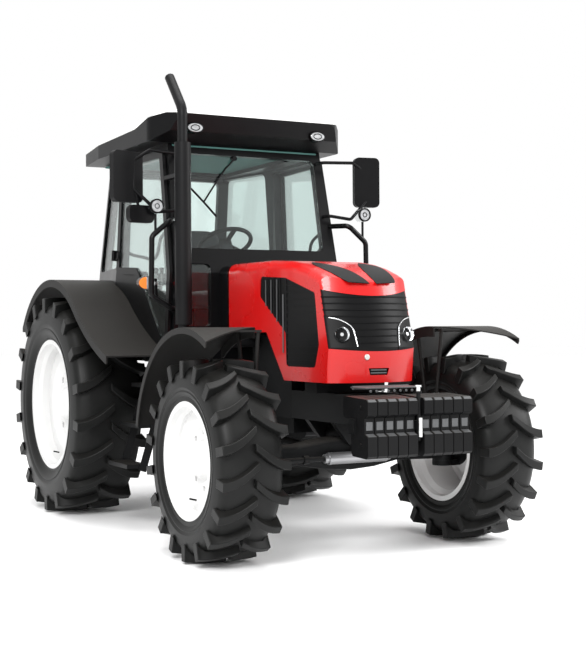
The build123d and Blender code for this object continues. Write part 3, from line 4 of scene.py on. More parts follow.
import bmesh
import bpy
from mathutils import Euler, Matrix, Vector


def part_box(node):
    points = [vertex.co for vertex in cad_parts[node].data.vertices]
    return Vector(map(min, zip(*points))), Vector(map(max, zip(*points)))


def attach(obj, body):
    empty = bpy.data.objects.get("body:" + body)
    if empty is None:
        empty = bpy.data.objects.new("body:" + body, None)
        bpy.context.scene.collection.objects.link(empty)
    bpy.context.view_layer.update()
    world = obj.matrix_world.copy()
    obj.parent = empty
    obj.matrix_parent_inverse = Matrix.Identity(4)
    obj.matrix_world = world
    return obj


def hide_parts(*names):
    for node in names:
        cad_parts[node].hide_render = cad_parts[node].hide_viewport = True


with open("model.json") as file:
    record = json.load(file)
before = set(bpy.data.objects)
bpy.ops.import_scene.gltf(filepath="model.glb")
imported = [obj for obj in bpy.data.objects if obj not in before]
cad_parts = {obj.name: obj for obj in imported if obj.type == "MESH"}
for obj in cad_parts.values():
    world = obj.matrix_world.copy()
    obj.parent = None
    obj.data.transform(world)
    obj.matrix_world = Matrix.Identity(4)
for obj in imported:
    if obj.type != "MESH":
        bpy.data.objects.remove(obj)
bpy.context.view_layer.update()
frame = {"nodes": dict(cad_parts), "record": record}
nodes = frame["nodes"]


# ---- materials --------------------------------------------------------------------
dust_color = (0.42, 0.38, 0.33, 1)
coat_roughness = 0.08
grain_depth = 0.002
glass_ior = 1.45


def material(name, color, rough=0.5, metallic=0.0, coat=0.0, vary=0.12, vary_scale=3.0,
             grain=400.0, bump=0.05, dust=0.0, sheen=0.0, shine=0.13):
    """Procedural finish: cloudy colour, uneven gloss, fine grain, dust on upward faces."""
    mat = bpy.data.materials.new(name)
    mat.use_nodes = True
    tree = mat.node_tree
    links = tree.links
    shader = tree.nodes["Principled BSDF"]
    shader.inputs["Metallic"].default_value = metallic
    shader.inputs["Coat Weight"].default_value = coat
    shader.inputs["Coat Roughness"].default_value = coat_roughness
    if sheen:
        shader.inputs["Sheen Weight"].default_value = sheen
    shader.inputs["Specular IOR Level"].default_value = shine
    where = tree.nodes.new("ShaderNodeTexCoord")
    cloud = tree.nodes.new("ShaderNodeTexNoise")
    cloud.inputs["Scale"].default_value = vary_scale
    cloud.inputs["Detail"].default_value = 6
    links.new(where.outputs["Object"], cloud.inputs["Vector"])
    tones = tree.nodes.new("ShaderNodeValToRGB")
    dark, light = tones.color_ramp.elements
    dark.position = 0.3
    light.position = 0.7
    dark.color = (*[c * (1 - vary) for c in color], 1)
    light.color = (*[min(1.0, c * (1 + vary)) for c in color], 1)
    links.new(cloud.outputs["Fac"], tones.inputs["Fac"])
    surface = tones.outputs["Color"]
    if dust:
        facing = tree.nodes.new("ShaderNodeNewGeometry")
        split = tree.nodes.new("ShaderNodeSeparateXYZ")
        links.new(facing.outputs["Normal"], split.inputs["Vector"])
        lift = tree.nodes.new("ShaderNodeMapRange")
        lift.inputs["From Min"].default_value = 0.2
        lift.inputs["From Max"].default_value = 1.0
        lift.inputs["To Max"].default_value = dust
        links.new(split.outputs["Z"], lift.inputs["Value"])
        mix = tree.nodes.new("ShaderNodeMix")
        mix.data_type = "RGBA"
        mix.inputs["B"].default_value = dust_color
        links.new(lift.outputs["Result"], mix.inputs["Factor"])
        links.new(surface, mix.inputs["A"])
        surface = mix.outputs["Result"]
    links.new(surface, shader.inputs["Base Color"])
    gloss = tree.nodes.new("ShaderNodeMapRange")
    gloss.inputs["To Min"].default_value = max(0.02, rough - 0.06)
    gloss.inputs["To Max"].default_value = min(1.0, rough + 0.1)
    links.new(cloud.outputs["Fac"], gloss.inputs["Value"])
    links.new(gloss.outputs["Result"], shader.inputs["Roughness"])
    if bump:
        fine = tree.nodes.new("ShaderNodeTexNoise")
        fine.inputs["Scale"].default_value = grain
        fine.inputs["Detail"].default_value = 3
        links.new(where.outputs["Object"], fine.inputs["Vector"])
        height = tree.nodes.new("ShaderNodeBump")
        height.inputs["Strength"].default_value = bump
        height.inputs["Distance"].default_value = grain_depth
        links.new(fine.outputs["Fac"], height.inputs["Height"])
        links.new(height.outputs["Normal"], shader.inputs["Normal"])
    return mat


def clear(name, tint, gloss_share, rough=0.02):
    """Clear sheet: light goes straight through, and the surface mirrors a little."""
    mat = bpy.data.materials.new(name)
    mat.use_nodes = True
    tree = mat.node_tree
    tree.nodes.remove(tree.nodes["Principled BSDF"])
    out = tree.nodes["Material Output"]
    through = tree.nodes.new("ShaderNodeBsdfTransparent")
    through.inputs["Color"].default_value = (*tint, 1)
    shine = tree.nodes.new("ShaderNodeBsdfGlossy")
    shine.inputs["Roughness"].default_value = rough
    rim_shine = tree.nodes.new("ShaderNodeFresnel")
    rim_shine.inputs["IOR"].default_value = glass_ior
    share = tree.nodes.new("ShaderNodeMath")
    share.operation = "MULTIPLY_ADD"
    share.inputs[1].default_value = 0.5
    share.inputs[2].default_value = gloss_share * 0.5
    tree.links.new(rim_shine.outputs["Fac"], share.inputs[0])
    mix = tree.nodes.new("ShaderNodeMixShader")
    tree.links.new(share.outputs["Value"], mix.inputs["Fac"])
    tree.links.new(through.outputs["BSDF"], mix.inputs[1])
    tree.links.new(shine.outputs["BSDF"], mix.inputs[2])
    tree.links.new(mix.outputs["Shader"], out.inputs["Surface"])
    return mat


# what each finish has that differs from the defaults of material()
looks = {
    "tyre_rubber": dict(color=(0.0050, 0.0052, 0.0050),
                        rough=0.42, vary=0.25, vary_scale=5, grain=220, bump=0.12, dust=0.012,
                        shine=0.2),
    "wheel_white": dict(color=(0.66, 0.66, 0.655), rough=0.32, vary=0.03, grain=60, bump=0.01),
    "chassis_grey": dict(color=(0.006, 0.0062, 0.0065),
                         rough=0.40, vary=0.15, grain=160, bump=0.08, dust=0.04),
    "casting_grey": dict(color=(0.0055, 0.0057, 0.006),
                         rough=0.5, vary=0.2, grain=120, bump=0.25, dust=0.05),
    "weight_black": dict(color=(0.0045, 0.0045, 0.0048),
                         rough=0.42, vary=0.2, grain=140, bump=0.22, dust=0.06),
    "hood_red": dict(color=(0.50, 0.0030, 0.0030),
                     rough=0.26, coat=0.30, shine=0.3, vary=0.04, grain=900, bump=0.01),
    "grille_black": dict(color=(0.0022, 0.0022, 0.0025), rough=0.40, vary=0.1),
    "cab_black": dict(color=(0.0025, 0.0025, 0.0028),
                      rough=0.30, coat=0.12, vary=0.1, grain=500, bump=0.02),
    "fender_grey": dict(color=(0.013, 0.0125, 0.012),
                        rough=0.5, vary=0.08, grain=350, bump=0.10, dust=0.03),
    "roof_white": dict(color=(0.82, 0.82, 0.80), rough=0.4, vary=0.03, grain=300, bump=0.02),
    "trim_black": dict(color=(0.003, 0.003, 0.0034),
                       rough=0.38, vary=0.1, grain=450, bump=0.05),
    "mirror_face": dict(color=(0.85, 0.87, 0.88), rough=0.05, metallic=1.0, vary=0.01, bump=0),
    "seat_fabric": dict(color=(0.014, 0.0145, 0.016),
                        rough=0.9, vary=0.2, grain=900, bump=0.3, sheen=0.3),
    "cab_trim": dict(color=(0.020, 0.022, 0.024), rough=0.6, vary=0.1, grain=500, bump=0.08),
    "floor_mat": dict(color=(0.020, 0.020, 0.020), rough=0.8, vary=0.2, grain=90, bump=0.3),
    "exhaust_black": dict(color=(0.006, 0.006, 0.0065),
                          rough=0.42, vary=0.2, grain=260, bump=0.06),
    "hitch_steel": dict(color=(0.34, 0.34, 0.35),
                        rough=0.36, metallic=0.85, vary=0.15, grain=300, bump=0.06),
    "tank_black": dict(color=(0.009, 0.009, 0.010),
                       rough=0.42, vary=0.1, grain=260, bump=0.1, dust=0.03),
    "bolt_steel": dict(color=(0.62, 0.62, 0.60), rough=0.35, metallic=0.8, vary=0.1),
    "headliner": dict(color=(0.07, 0.17, 0.155), rough=0.85, vary=0.08, grain=700, bump=0.15),
    "amber": dict(color=(0.75, 0.20, 0.02), rough=0.2, coat=0.6, vary=0.05),
    "red_lens": dict(color=(0.45, 0.01, 0.01), rough=0.2, coat=0.6, vary=0.05),
    "reflector": dict(color=(0.85, 0.86, 0.87), rough=0.12, metallic=1.0, vary=0.03),
    "lamp_silver": dict(color=(0.50, 0.51, 0.52),
                        rough=0.18, metallic=0.7, vary=0.25, vary_scale=60),
    "ribbed_grey": dict(color=(0.11, 0.112, 0.115), rough=0.4, metallic=0.3, vary=0.1),
}
# tint, and the gloss share that clear() adds to what the angle gives
glasses = {
    "window_glass": ((0.93, 0.975, 0.965), 0.04),
    "lamp_glass": ((0.95, 0.96, 0.96), 0.14),
}
finish = {name: material(name, **look) for name, look in looks.items()}
for name, (tint, mirrored) in glasses.items():
    finish[name] = clear(name, tint, mirrored)

slots = {s["node"]: s["material_slot"] for s in frame["record"]["subparts"]}
for name, node in nodes.items():
    node.data.materials.clear()
    node.data.materials.append(finish[slots[name]])
    for face in node.data.polygons:
        face.material_index = 0


# ---- building blocks ----------------------------------------------------------------
piece_sharp = 35        # degrees between faces where shading breaks, on pieces made here
solid_sharp = 28        # the same on the CAD solids


class Form:
    """Collects simple solids in one mesh, in the row frame, in metres."""

    def __init__(self):
        self.points = []
        self.faces = []

    def put(self, points, faces):
        start = len(self.points)
        self.points += [tuple(p) for p in points]
        self.faces += [tuple(start + i for i in face) for face in faces]

    def loft(self, rings, closed=False):
        count = len(rings[0])
        points = [p for ring in rings for p in ring]
        faces = []
        spans = len(rings) if closed else len(rings) - 1
        for k in range(spans):
            a, b = k * count, (k + 1) % len(rings) * count
            faces += [(a + i, a + (i + 1) % count, b + (i + 1) % count, b + i)
                      for i in range(count)]
        if not closed:
            faces += [tuple(reversed(range(count))),
                      tuple(range(len(points) - count, len(points)))]
        self.put(points, faces)

    def box(self, centre, size, turn=(0, 0, 0)):
        spin = Euler([math.radians(a) for a in turn]).to_matrix()
        half = [s / 2 for s in size]
        corners = [(-1, -1), (1, -1), (1, 1), (-1, 1)]
        self.loft([[Vector(centre) + spin @ Vector((x * half[0], y * half[1], z * half[2]))
                    for x, y in corners] for z in (-1, 1)])

    def rod(self, start, end, radius, far_radius=None, sides=20):
        start, end = Vector(start), Vector(end)
        facing = (end - start).to_track_quat("Z", "Y").to_matrix()
        rings = []
        for base, r in ((start, radius), (end, radius if far_radius is None else far_radius)):
            rings.append([base + facing @ Vector((r * math.cos(t), r * math.sin(t), 0))
                          for t in (math.tau * k / sides for k in range(sides))])
        self.loft(rings)

    def tube(self, path, radius, sides=10):
        path = [Vector(p) for p in path]
        rings = []
        side = None
        for k, point in enumerate(path):
            heading = (path[min(k + 1, len(path) - 1)] - path[max(k - 1, 0)]).normalized()
            if side is None:
                side = heading.orthogonal().normalized()
            side = (side - heading * side.dot(heading)).normalized()
            lift = heading.cross(side)
            rings.append([point + radius * (side * math.cos(t) + lift * math.sin(t))
                          for t in (math.tau * j / sides for j in range(sides))])
        self.loft(rings)

    def bolt(self, centre, way, radius, height):
        """Hexagon head on a washer; way is the outward direction."""
        way = Vector(way).normalized()
        centre = Vector(centre)
        self.rod(centre, centre + way * height * 0.25, radius * 1.25, sides=16)
        self.rod(centre, centre + way * height, radius, sides=6)

    def plate(self, outline, out):
        """Flat outline of 3-D points made solid by the vector out."""
        self.loft([[Vector(p) for p in outline], [Vector(p) + Vector(out) for p in outline]])

    def revolve(self, profile, centre, axis, sides=64):
        """Profile of (along the axis, radius) points turned round axis; closed ring."""
        axis = Vector(axis).normalized()
        u = axis.orthogonal().normalized()
        v = axis.cross(u)
        rings = []
        for k in range(sides):
            t = math.tau * k / sides
            spoke = u * math.cos(t) + v * math.sin(t)
            rings.append([Vector(centre) + axis * a + spoke * r for a, r in profile])
        self.loft(rings, closed=True)

    def make(self, name, slot, body, bevel=0.0, segments=2, angle=40):
        mesh = bpy.data.meshes.new(name)
        mesh.from_pydata(self.points, [], self.faces)
        edit = bmesh.new()
        edit.from_mesh(mesh)
        bmesh.ops.recalc_face_normals(edit, faces=edit.faces)
        edit.to_mesh(mesh)
        edit.free()
        mesh.materials.append(finish[slot])
        obj = bpy.data.objects.new(name, mesh)
        bpy.context.scene.collection.objects.link(obj)
        mesh.shade_smooth()
        mesh.set_sharp_from_angle(angle=math.radians(piece_sharp))
        if bevel:
            soften(obj, bevel, segments, angle)
        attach(obj, body)
        return obj


def soften(obj, width, segments=2, angle=40):
    edge = obj.modifiers.new("edges", "BEVEL")
    edge.width = width
    edge.segments = segments
    edge.limit_method = "ANGLE"
    edge.angle_limit = math.radians(angle)
    edge.harden_normals = False
    edge.use_clamp_overlap = True


def curve(points, steps=8):
    """Smooth path through the points."""
    points = [Vector(p) for p in points]
    points = [points[0] * 2 - points[1]] + points + [points[-1] * 2 - points[-2]]
    path = []
    for k in range(1, len(points) - 2):
        a, b, c, d = points[k - 1:k + 3]
        for j in range(steps):
            t = j / steps
            path.append(0.5 * (2 * b + (c - a) * t + (2 * a - 5 * b + 4 * c - d) * t * t
                               + (3 * b - a - 3 * c + d) * t * t * t))
    path.append(points[-2])
    return path


# ---- tyres --------------------------------------------------------------------------
rear_tyre = dict(track=0.830, y=1.000, radius=0.752, width=0.480,
                 bead=0.432, rim=0.400, lug=0.045, lugs=18)
front_tyre = dict(track=0.820, y=-1.340, radius=0.556, width=0.380,
                  bead=0.305, rim=0.340, lug=0.040, lugs=18)
# where a tread bar is cut, as shares of the way from the tread's middle to the shoulder
bar_cuts = (-0.04, 0.12, 0.28, 0.45, 0.62, 0.78, 0.90, 0.965, 1.0)
bar_shoulder = 0.78


def tyre(name, node, body, wheel, side):
    """Rounded carcass with curved tread bars, in place of the plain CAD tyre."""
    form = Form()
    half = wheel["width"] / 2
    base = wheel["radius"] - wheel["lug"]
    bead = wheel["bead"]
    seat = wheel["rim"] / 2 - 0.012
    wall = base - bead
    # half of the section from the tread's middle to the bead, as (across, radius)
    outer = ((0.25 * half, base + 0.002), (0.55 * half, base - 0.002),
             (half - 0.050, base - 0.010), (half - 0.022, base - 0.028),
             (half - 0.010, base - 0.052), (half - 0.004, base - 0.5 * wall),
             (half - 0.003, base - 0.55 * wall), (half - 0.009, base - 0.60 * wall),
             (half - 0.012, base - 0.64 * wall), (half - 0.008, base - 0.66 * wall),
             (half - 0.010, base - 0.72 * wall), (half - 0.020, base - 0.78 * wall),
             (seat + 0.012, bead + 0.034), (seat + 0.016, bead + 0.024),
             (seat + 0.008, bead + 0.014), (seat, bead + 0.004))
    profile = [(-a, r) for a, r in reversed(outer)] + [(a, r) for a, r in outer]
    centre = Vector((side * wheel["track"], wheel["y"], wheel["radius"]))
    form.revolve(profile, centre, (1, 0, 0), 96)
    reach = half * 0.62
    thick = half * 0.25
    for pitch in range(wheel["lugs"]):
        for way in (-1, 1):
            angle = math.tau / wheel["lugs"] * (pitch + (0.25 if side * way > 0 else 0.75))
            rings = []
            for u in bar_cuts:
                bend = 1 - (1 - max(u, 0)) ** 1.8
                along = -reach / 2 + reach * 0.86 * bend + (u if u < 0 else 0) * reach
                across = thick * (0.40 + 0.14 * u)
                crown = wheel["radius"] - 0.002 - 0.010 * u ** 3
                drop = max(0.0, (u - bar_shoulder) / 0.22)
                foot = base - 0.012 - 0.055 * drop ** 1.5
                draft = 0.009 - 0.004 * drop
                ring = []
                for offset, r in ((-across, crown), (across, crown),
                                  (across + draft, foot), (-across - draft, foot)):
                    a = angle + (along + offset) / wheel["radius"]
                    x = way * (half + (0.003 if u == 1.0 else 0)) * u
                    ring.append(centre + Vector((x, math.cos(a) * r, math.sin(a) * r)))
                rings.append(ring)
            form.loft(rings)
    obj = form.make(name, "tyre_rubber", body, bevel=0.004, segments=2, angle=55)
    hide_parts(node)


for side, label in ((1, "left"), (-1, "right")):
    for end, wheel in (("rear", rear_tyre), ("front", front_tyre)):
        tyre(f"{end}_tyre_{label}", f"tyre_{end}_{label}", f"wheel_{end}_{label}", wheel, side)

# ---- wheels: valve stems -------------------------------------------------------------
for side, label in ((1, "left"), (-1, "right")):
    for end, wheel in (("rear", rear_tyre), ("front", front_tyre)):
        low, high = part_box(f"rim_{end}_{label}")
        out_x = high[0] if side > 0 else low[0]
        valve = Form()
        axle = Vector((out_x, wheel["y"], wheel["radius"]))
        valve.tube([axle + Vector((-side * 0.06, 0, -wheel["bead"] + 0.09)),
                    axle + Vector((-side * 0.02, 0, -wheel["bead"] + 0.10))], 0.005)
        valve.make(f"{end}_valve_{label}", "trim_black", f"wheel_{end}_{label}")

# the lamps' solids are the dark housings behind the rings made below
nodes["headlamps"].data.materials[0] = finish["grille_black"]

# ---- softer edges on the solids, which catch the light ------------------------------
for name, width in (("suitcase_weights", 0.004), ("front_frame", 0.003),
                    ("front_axle_beam", 0.004), ("knuckle_left", 0.003),
                    ("knuckle_right", 0.003), ("engine", 0.004),
                    ("transmission_case", 0.005), ("rear_axle_housing", 0.005),
                    ("cab_frame", 0.004), ("door_left_frame", 0.004),
                    ("door_right_frame", 0.004), ("roof_visor", 0.008),
                    ("rear_fenders", 0.003), ("cab_consoles", 0.008), ("steps", 0.002),
                    ("fuel_tank", 0.008), ("battery_box", 0.006), ("lift_arms", 0.004),
                    ("lower_links", 0.003), ("drawbar", 0.003)):
    soften(nodes[name], width)
for name in ("hood_shell", "headlamps", "front_grille", "side_grilles", "roof_cap",
             "rear_fenders", "front_fender_left", "front_fender_right", "exhaust_stack",
             "handrails", "mirrors", "rim_rear_left", "rim_rear_right", "rim_front_left",
             "rim_front_right", "steering_wheel", "cab_lamps", "fuel_tank"):
    nodes[name].data.shade_smooth()
    nodes[name].data.set_sharp_from_angle(angle=math.radians(solid_sharp))


# ---- hood ---------------------------------------------------------------------------
hood_rear_y = -0.385
hood_length = 1.36
hood_crown = 1.682
hood_fall = 0.212           # how far the crown falls to the nose
hood_half = 0.288           # half width at the rear
hood_taper = 0.012          # lost from the half width at the nose
shoulder = 0.060            # radius between crown and side


def crown_z(y):
    """Height of the hood's crown at y."""
    return hood_crown - hood_fall * (max(0.0, hood_rear_y - y) / hood_length) ** 4.3


def on_hood(x, y, lift):
    """Point of the hood's top, with its rounded shoulders."""
    half = hood_half - hood_taper * (hood_rear_y - y) / hood_length
    past = max(0.0, abs(x) - (half - shoulder))
    rise = math.sqrt(max(0.0, shoulder ** 2 - past ** 2))
    return Vector((x, y, crown_z(y) - shoulder + rise + lift))


def hood_patch(form, left, right, rows, columns, depth, lift):
    """Thin panel on the hood between two edges, each a function of the share to the rear."""
    top, under = [], []
    for r in range(rows + 1):
        share = r / rows
        a, b = left(share), right(share)
        for c in range(columns + 1):
            x = a[0] + (b[0] - a[0]) * c / columns
            y = a[1] + (b[1] - a[1]) * c / columns
            top.append(on_hood(x, y, lift))
            under.append(on_hood(x, y, lift - depth))
    width = columns + 1
    count = len(top)
    faces = []
    for r in range(rows):
        for c in range(columns):
            k = r * width + c
            faces.append((k, k + 1, k + width + 1, k + width))
            faces.append((count + k, count + k + width, count + k + width + 1, count + k + 1))
    rim = (list(range(width)) + [r * width + columns for r in range(1, rows + 1)]
           + [rows * width + c for c in range(columns - 1, -1, -1)]
           + [r * width for r in range(rows - 1, 0, -1)])
    for k, a in enumerate(rim):
        b = rim[(k + 1) % len(rim)]
        faces.append((a, count + a, count + b, b))
    form.put(top + under, faces)


for way, label in ((1, "left"), (-1, "right")):
    leaf = Form()
    hood_patch(leaf, lambda s: (way * (0.022 + 0.030 * s + 0.10 * s ** 2.5), -1.668 + 0.42 * s),
               lambda s: (way * (0.150 + 0.085 * s ** 0.7 - 0.075 * s ** 6),
                          -1.655 + 0.30 * s + 0.10 * s * s),
               rows=14, columns=8, depth=0.004, lift=0.0022)
    leaf.make(f"hood_insert_{label}", "grille_black", "hood")

# headlamps: dark bowl, bright ring and the bright sweep beside it
for way, label in ((1, "left"), (-1, "right")):
    chrome = Form()
    bowl = Form()
    centre = Vector((way * 0.210, -1.682, 1.236))
    out = Vector((way * 0.22, -1, 0.15)).normalized()
    chrome.revolve([(0, 0.030), (0.010, 0.036), (0.016, 0.040), (0.012, 0.041),
                    (-0.012, 0.041), (-0.012, 0.030)], centre, out, 32)
    chrome.rod(centre - out * 0.004, centre + out * 0.006, 0.012, 0.010, sides=16)
    bowl.rod(centre - out * 0.012, centre - out * 0.006, 0.031, 0.031, sides=24)
    bowl.make(f"headlamp_bowl_{label}", "trim_black", "hood")
    sweep = [Vector((way * x, y - 0.002, z)) for x, y, z in
             ((0.258, -1.622, 1.330), (0.205, -1.654, 1.316), (0.156, -1.686, 1.282),
              (0.143, -1.703, 1.238), (0.135, -1.722, 1.170))]
    chrome.tube(curve(sweep, 6), 0.0028)
    chrome.make(f"headlamp_reflector_{label}", "reflector", "hood")

# hood latch, and two plain bars in the slot under the grille
latch = Form()
latch.rod((-0.081, -1.726, 1.112), (-0.081, -1.738, 1.112), 0.016)
latch.make("hood_latch", "bolt_steel", "hood", bevel=0.002)
bars = Form()
for z in (1.040, 1.024):
    bars.box((0, -1.722, z), (0.100, 0.006, 0.006))
bars.make("slot_bars", "ribbed_grey", "hood")
slot_back = Form()
slot_back.box((0, -1.712, 1.031), (0.124, 0.006, 0.040))
slot_back.make("slot_back", "grille_black", "hood")

# side grilles: light strips
strip_top = 1.560
for way, label in ((1, "left"), (-1, "right")):
    strip = Form()
    strip.box((way * 0.2855, -1.128, 1.30), (0.003, 0.012, 0.34))
    for y, bottom in ((-0.905, 1.405), (-0.975, 1.360), (-1.050, 1.310)):
        strip.box((way * 0.2862, y, (bottom + strip_top) / 2), (0.003, 0.007, strip_top - bottom))
    strip.make(f"side_light_strip_{label}", "ribbed_grey", "hood")

# ---- chassis front: tray, strip, pins and bolts --------------------------------------
tray = Form()
tray.box((0, -1.80, 0.948), (0.36, 0.16, 0.008))
for column in range(9):
    x = -0.15 + column * 0.0375
    tray.rod((x, -1.882, 0.932), (x, -1.886, 0.932), 0.008, sides=12)
tray.make("front_tray", "ribbed_grey", "chassis", bevel=0.002)

bumper = Form()
bumper.box((0, -1.742, 0.946), (0.360, 0.014, 0.020))
bumper.make("front_bumper_strip", "ribbed_grey", "chassis", bevel=0.003)
pins = Form()
pins.rod((0, -2.118, 0.860), (0, -2.118, 0.962), 0.010)
pins.rod((0, -2.118, 0.962), (0, -2.118, 0.970), 0.016)
pins.rod((0, -2.138, 0.700), (0, -2.138, 0.800), 0.009)
pins.make("tow_pins", "wheel_white", "chassis", bevel=0.001)
studs = Form()
for way in (-1, 1):
    for y in (-1.78, -1.60, -1.44):
        for z in (0.775, 0.865):
            studs.bolt((way * 0.146, y, z), (way, 0, 0), 0.013, 0.010)
studs.make("front_frame_bolts", "bolt_steel", "chassis")

# ---- seat ---------------------------------------------------------------------------
cells = 22                  # cuts of each edge of a pad
squareness = 5.0            # 2 is an ellipsoid, more is squarer
seam_depth, seam_width = 0.010, 0.035


def cushion(name, centre, size, turn, crown, channels, node=None):
    """Crowned closed pad: square-ended rounding, sides pulled in, sewn channels along it."""
    edit = bmesh.new()
    bmesh.ops.create_cube(edit, size=2)
    bmesh.ops.subdivide_edges(edit, edges=edit.edges, cuts=cells, use_grid_fill=True)
    half = Vector(size) / 2
    spin = Euler([math.radians(a) for a in turn]).to_matrix()
    for vert in edit.verts:
        x, y, z = vert.co
        length = sum(abs(c) ** squareness for c in (x, y, z)) ** (1 / squareness)
        x, y, z = x / length, y / length, z / length
        rise = max(0.0, z)
        x *= 1 - 0.05 * (1 - y * y) * (1 - 0.5 * rise)
        y *= 1 - 0.04 * (1 - x * x) * (1 - 0.5 * rise)
        place = Vector((x * half.x, y * half.y, z * half.z))
        if z > 0:
            place.z += crown * (1 - x * x) * (1 - y * y)
            for seam in channels:
                dip = seam_depth * math.exp(-((x - seam) / seam_width) ** 2)
                place.z -= dip * (1 - y ** 6)
        vert.co = Vector(centre) + spin @ place
    mesh = bpy.data.meshes.new(name)
    edit.to_mesh(mesh)
    edit.free()
    mesh.materials.append(finish["seat_fabric"])
    mesh.shade_smooth()
    obj = bpy.data.objects.new(name, mesh)
    bpy.context.scene.collection.objects.link(obj)
    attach(obj, "chassis")
    if node:
        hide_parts(node)


cushion("seat_pad", (0, 0.600, 1.466), (0.490, 0.410, 0.110), (0, 0, 0), 0.022,
        (-0.42, 0.42), "seat_cushions")
cushion("seat_back_pad", (0, 0.862, 1.725), (0.450, 0.550, 0.088), (81, 0, 0), 0.020,
        (-0.40, 0.40))
for way, label in ((1, "left"), (-1, "right")):
    cushion(f"armrest_{label}", (way * 0.272, 0.700, 1.640), (0.055, 0.300, 0.050),
            (4, 0, 0), 0.004, ())

# ---- inside the cab -----------------------------------------------------------------
liner = Form()
liner.box((0, 0.600, 2.464), (1.060, 1.300, 0.012))
liner.make("headliner", "headliner", "chassis", bevel=0.004)
levers = Form()
knobs = Form()
for x, y, lean in ((-0.375, 0.420, -6), (-0.405, 0.470, -4), (-0.435, 0.520, -8),
                   (-0.385, 0.600, 3)):
    top = Vector((x, y + math.sin(math.radians(lean)) * 0.14, 1.545 + 0.13))
    levers.rod((x, y, 1.530), top, 0.006, sides=10)
    knobs.rod(top - Vector((0, 0, 0.020)), top + Vector((0, 0, 0.020)), 0.013, 0.017, sides=14)
levers.rod((-0.150, 0.130, 1.690), (-0.190, 0.150, 1.760), 0.005, sides=10)
levers.rod((0.040, 0.150, 1.730), (0.190, 0.180, 1.770), 0.005, sides=10)
levers.make("lever_rods", "bolt_steel", "chassis")
knobs.make("lever_knobs", "trim_black", "chassis", bevel=0.004)
stalk_knob = Form()
stalk_knob.rod((-0.190, 0.150, 1.755), (-0.205, 0.157, 1.785), 0.014, sides=16)
stalk_knob.make("orange_knob", "amber", "chassis", bevel=0.004)
pedals = Form()
for x in (-0.170, -0.075, 0.150):
    pedals.box((x, 0.020, 1.190), (0.062, 0.012, 0.080), (-28, 0, 0))
    pedals.rod((x, 0.024, 1.180), (x, -0.055, 1.105), 0.008, sides=10)
pedals.make("pedals", "trim_black", "chassis", bevel=0.003)
dials = Form()
for x, r in ((-0.075, 0.036), (0.010, 0.046), (0.098, 0.036)):
    dials.revolve([(0, r - 0.006), (0.006, r), (0.006, r + 0.004), (-0.004, r + 0.004),
                   (-0.004, r - 0.006)], (x, -0.030, 1.692), (0, 0.62, 0.78), 28)
dials.make("dial_rings", "ribbed_grey", "chassis")
boss = Form()
rake = math.radians(30)
column = Vector((0, -math.sin(rake), -math.cos(rake)))
hub = Vector((0, 0.296, 1.860))
boss.rod(hub + column * 0.012, hub - column * 0.014, 0.048, 0.040, sides=28)
boss.make("wheel_boss", "trim_black", "steering_wheel", bevel=0.004)

# ---- doors --------------------------------------------------------------------------
for way, label in ((1, "left"), (-1, "right")):
    pull = Form()
    pull.tube(curve([(way * x, y, z) for x, y, z in
                     ((0.592, 0.600, 1.800), (0.572, 0.560, 1.782), (0.568, 0.380, 1.758),
                      (0.568, 0.210, 1.736), (0.566, 0.130, 1.768), (0.562, 0.085, 1.860),
                      (0.560, 0.000, 1.905), (0.572, -0.070, 1.925))], 6), 0.011)
    pull.make(f"door_pull_bar_{label}", "trim_black", f"door_{label}")
    grip = Form()
    grip.box((way * 0.6835, -0.128, 1.520), (0.020, 0.040, 0.150), (0, way * 2.6, 0))
    grip.box((way * 0.694, -0.118, 1.540), (0.014, 0.022, 0.100), (0, way * 2.6, 0))
    grip.make(f"door_handle_{label}", "trim_black", f"door_{label}", bevel=0.005)
    lock = Form()
    lock.rod((way * 0.688, -0.128, 1.470), (way * 0.696, -0.128, 1.470), 0.009, sides=18)
    lock.make(f"door_lock_{label}", "bolt_steel", f"door_{label}", bevel=0.001)

# ---- wiper --------------------------------------------------------------------------
wiper = Form()
wiper.rod((-0.100, -0.045, 2.400), (-0.100, -0.085, 2.395), 0.016, sides=16)
for path, radius in (
        (((-0.100, -0.078, 2.395), (-0.200, -0.098, 2.290), (-0.352, -0.148, 2.095)), 0.006),
        (((-0.430, -0.118, 2.180), (-0.352, -0.140, 2.095), (-0.270, -0.162, 2.000)), 0.007)):
    wiper.tube(curve(path, 6), radius)
wiper.make("wiper", "trim_black", "chassis")

# ---- lamps --------------------------------------------------------------------------
work_x, work_z = 0.748, 2.035
roof_x, roof_z = 0.444, 2.556
marker_x, marker_z = 0.803, 1.560
tail_y, tail_z = 1.7275, 1.262


def oval(x, y, z, wide, tall, count=32):
    """One turn of points round an oval that faces forwards."""
    return [(x + wide * math.cos(t), y, z + tall * math.sin(t))
            for t in (math.tau * k / 32 for k in range(count))]


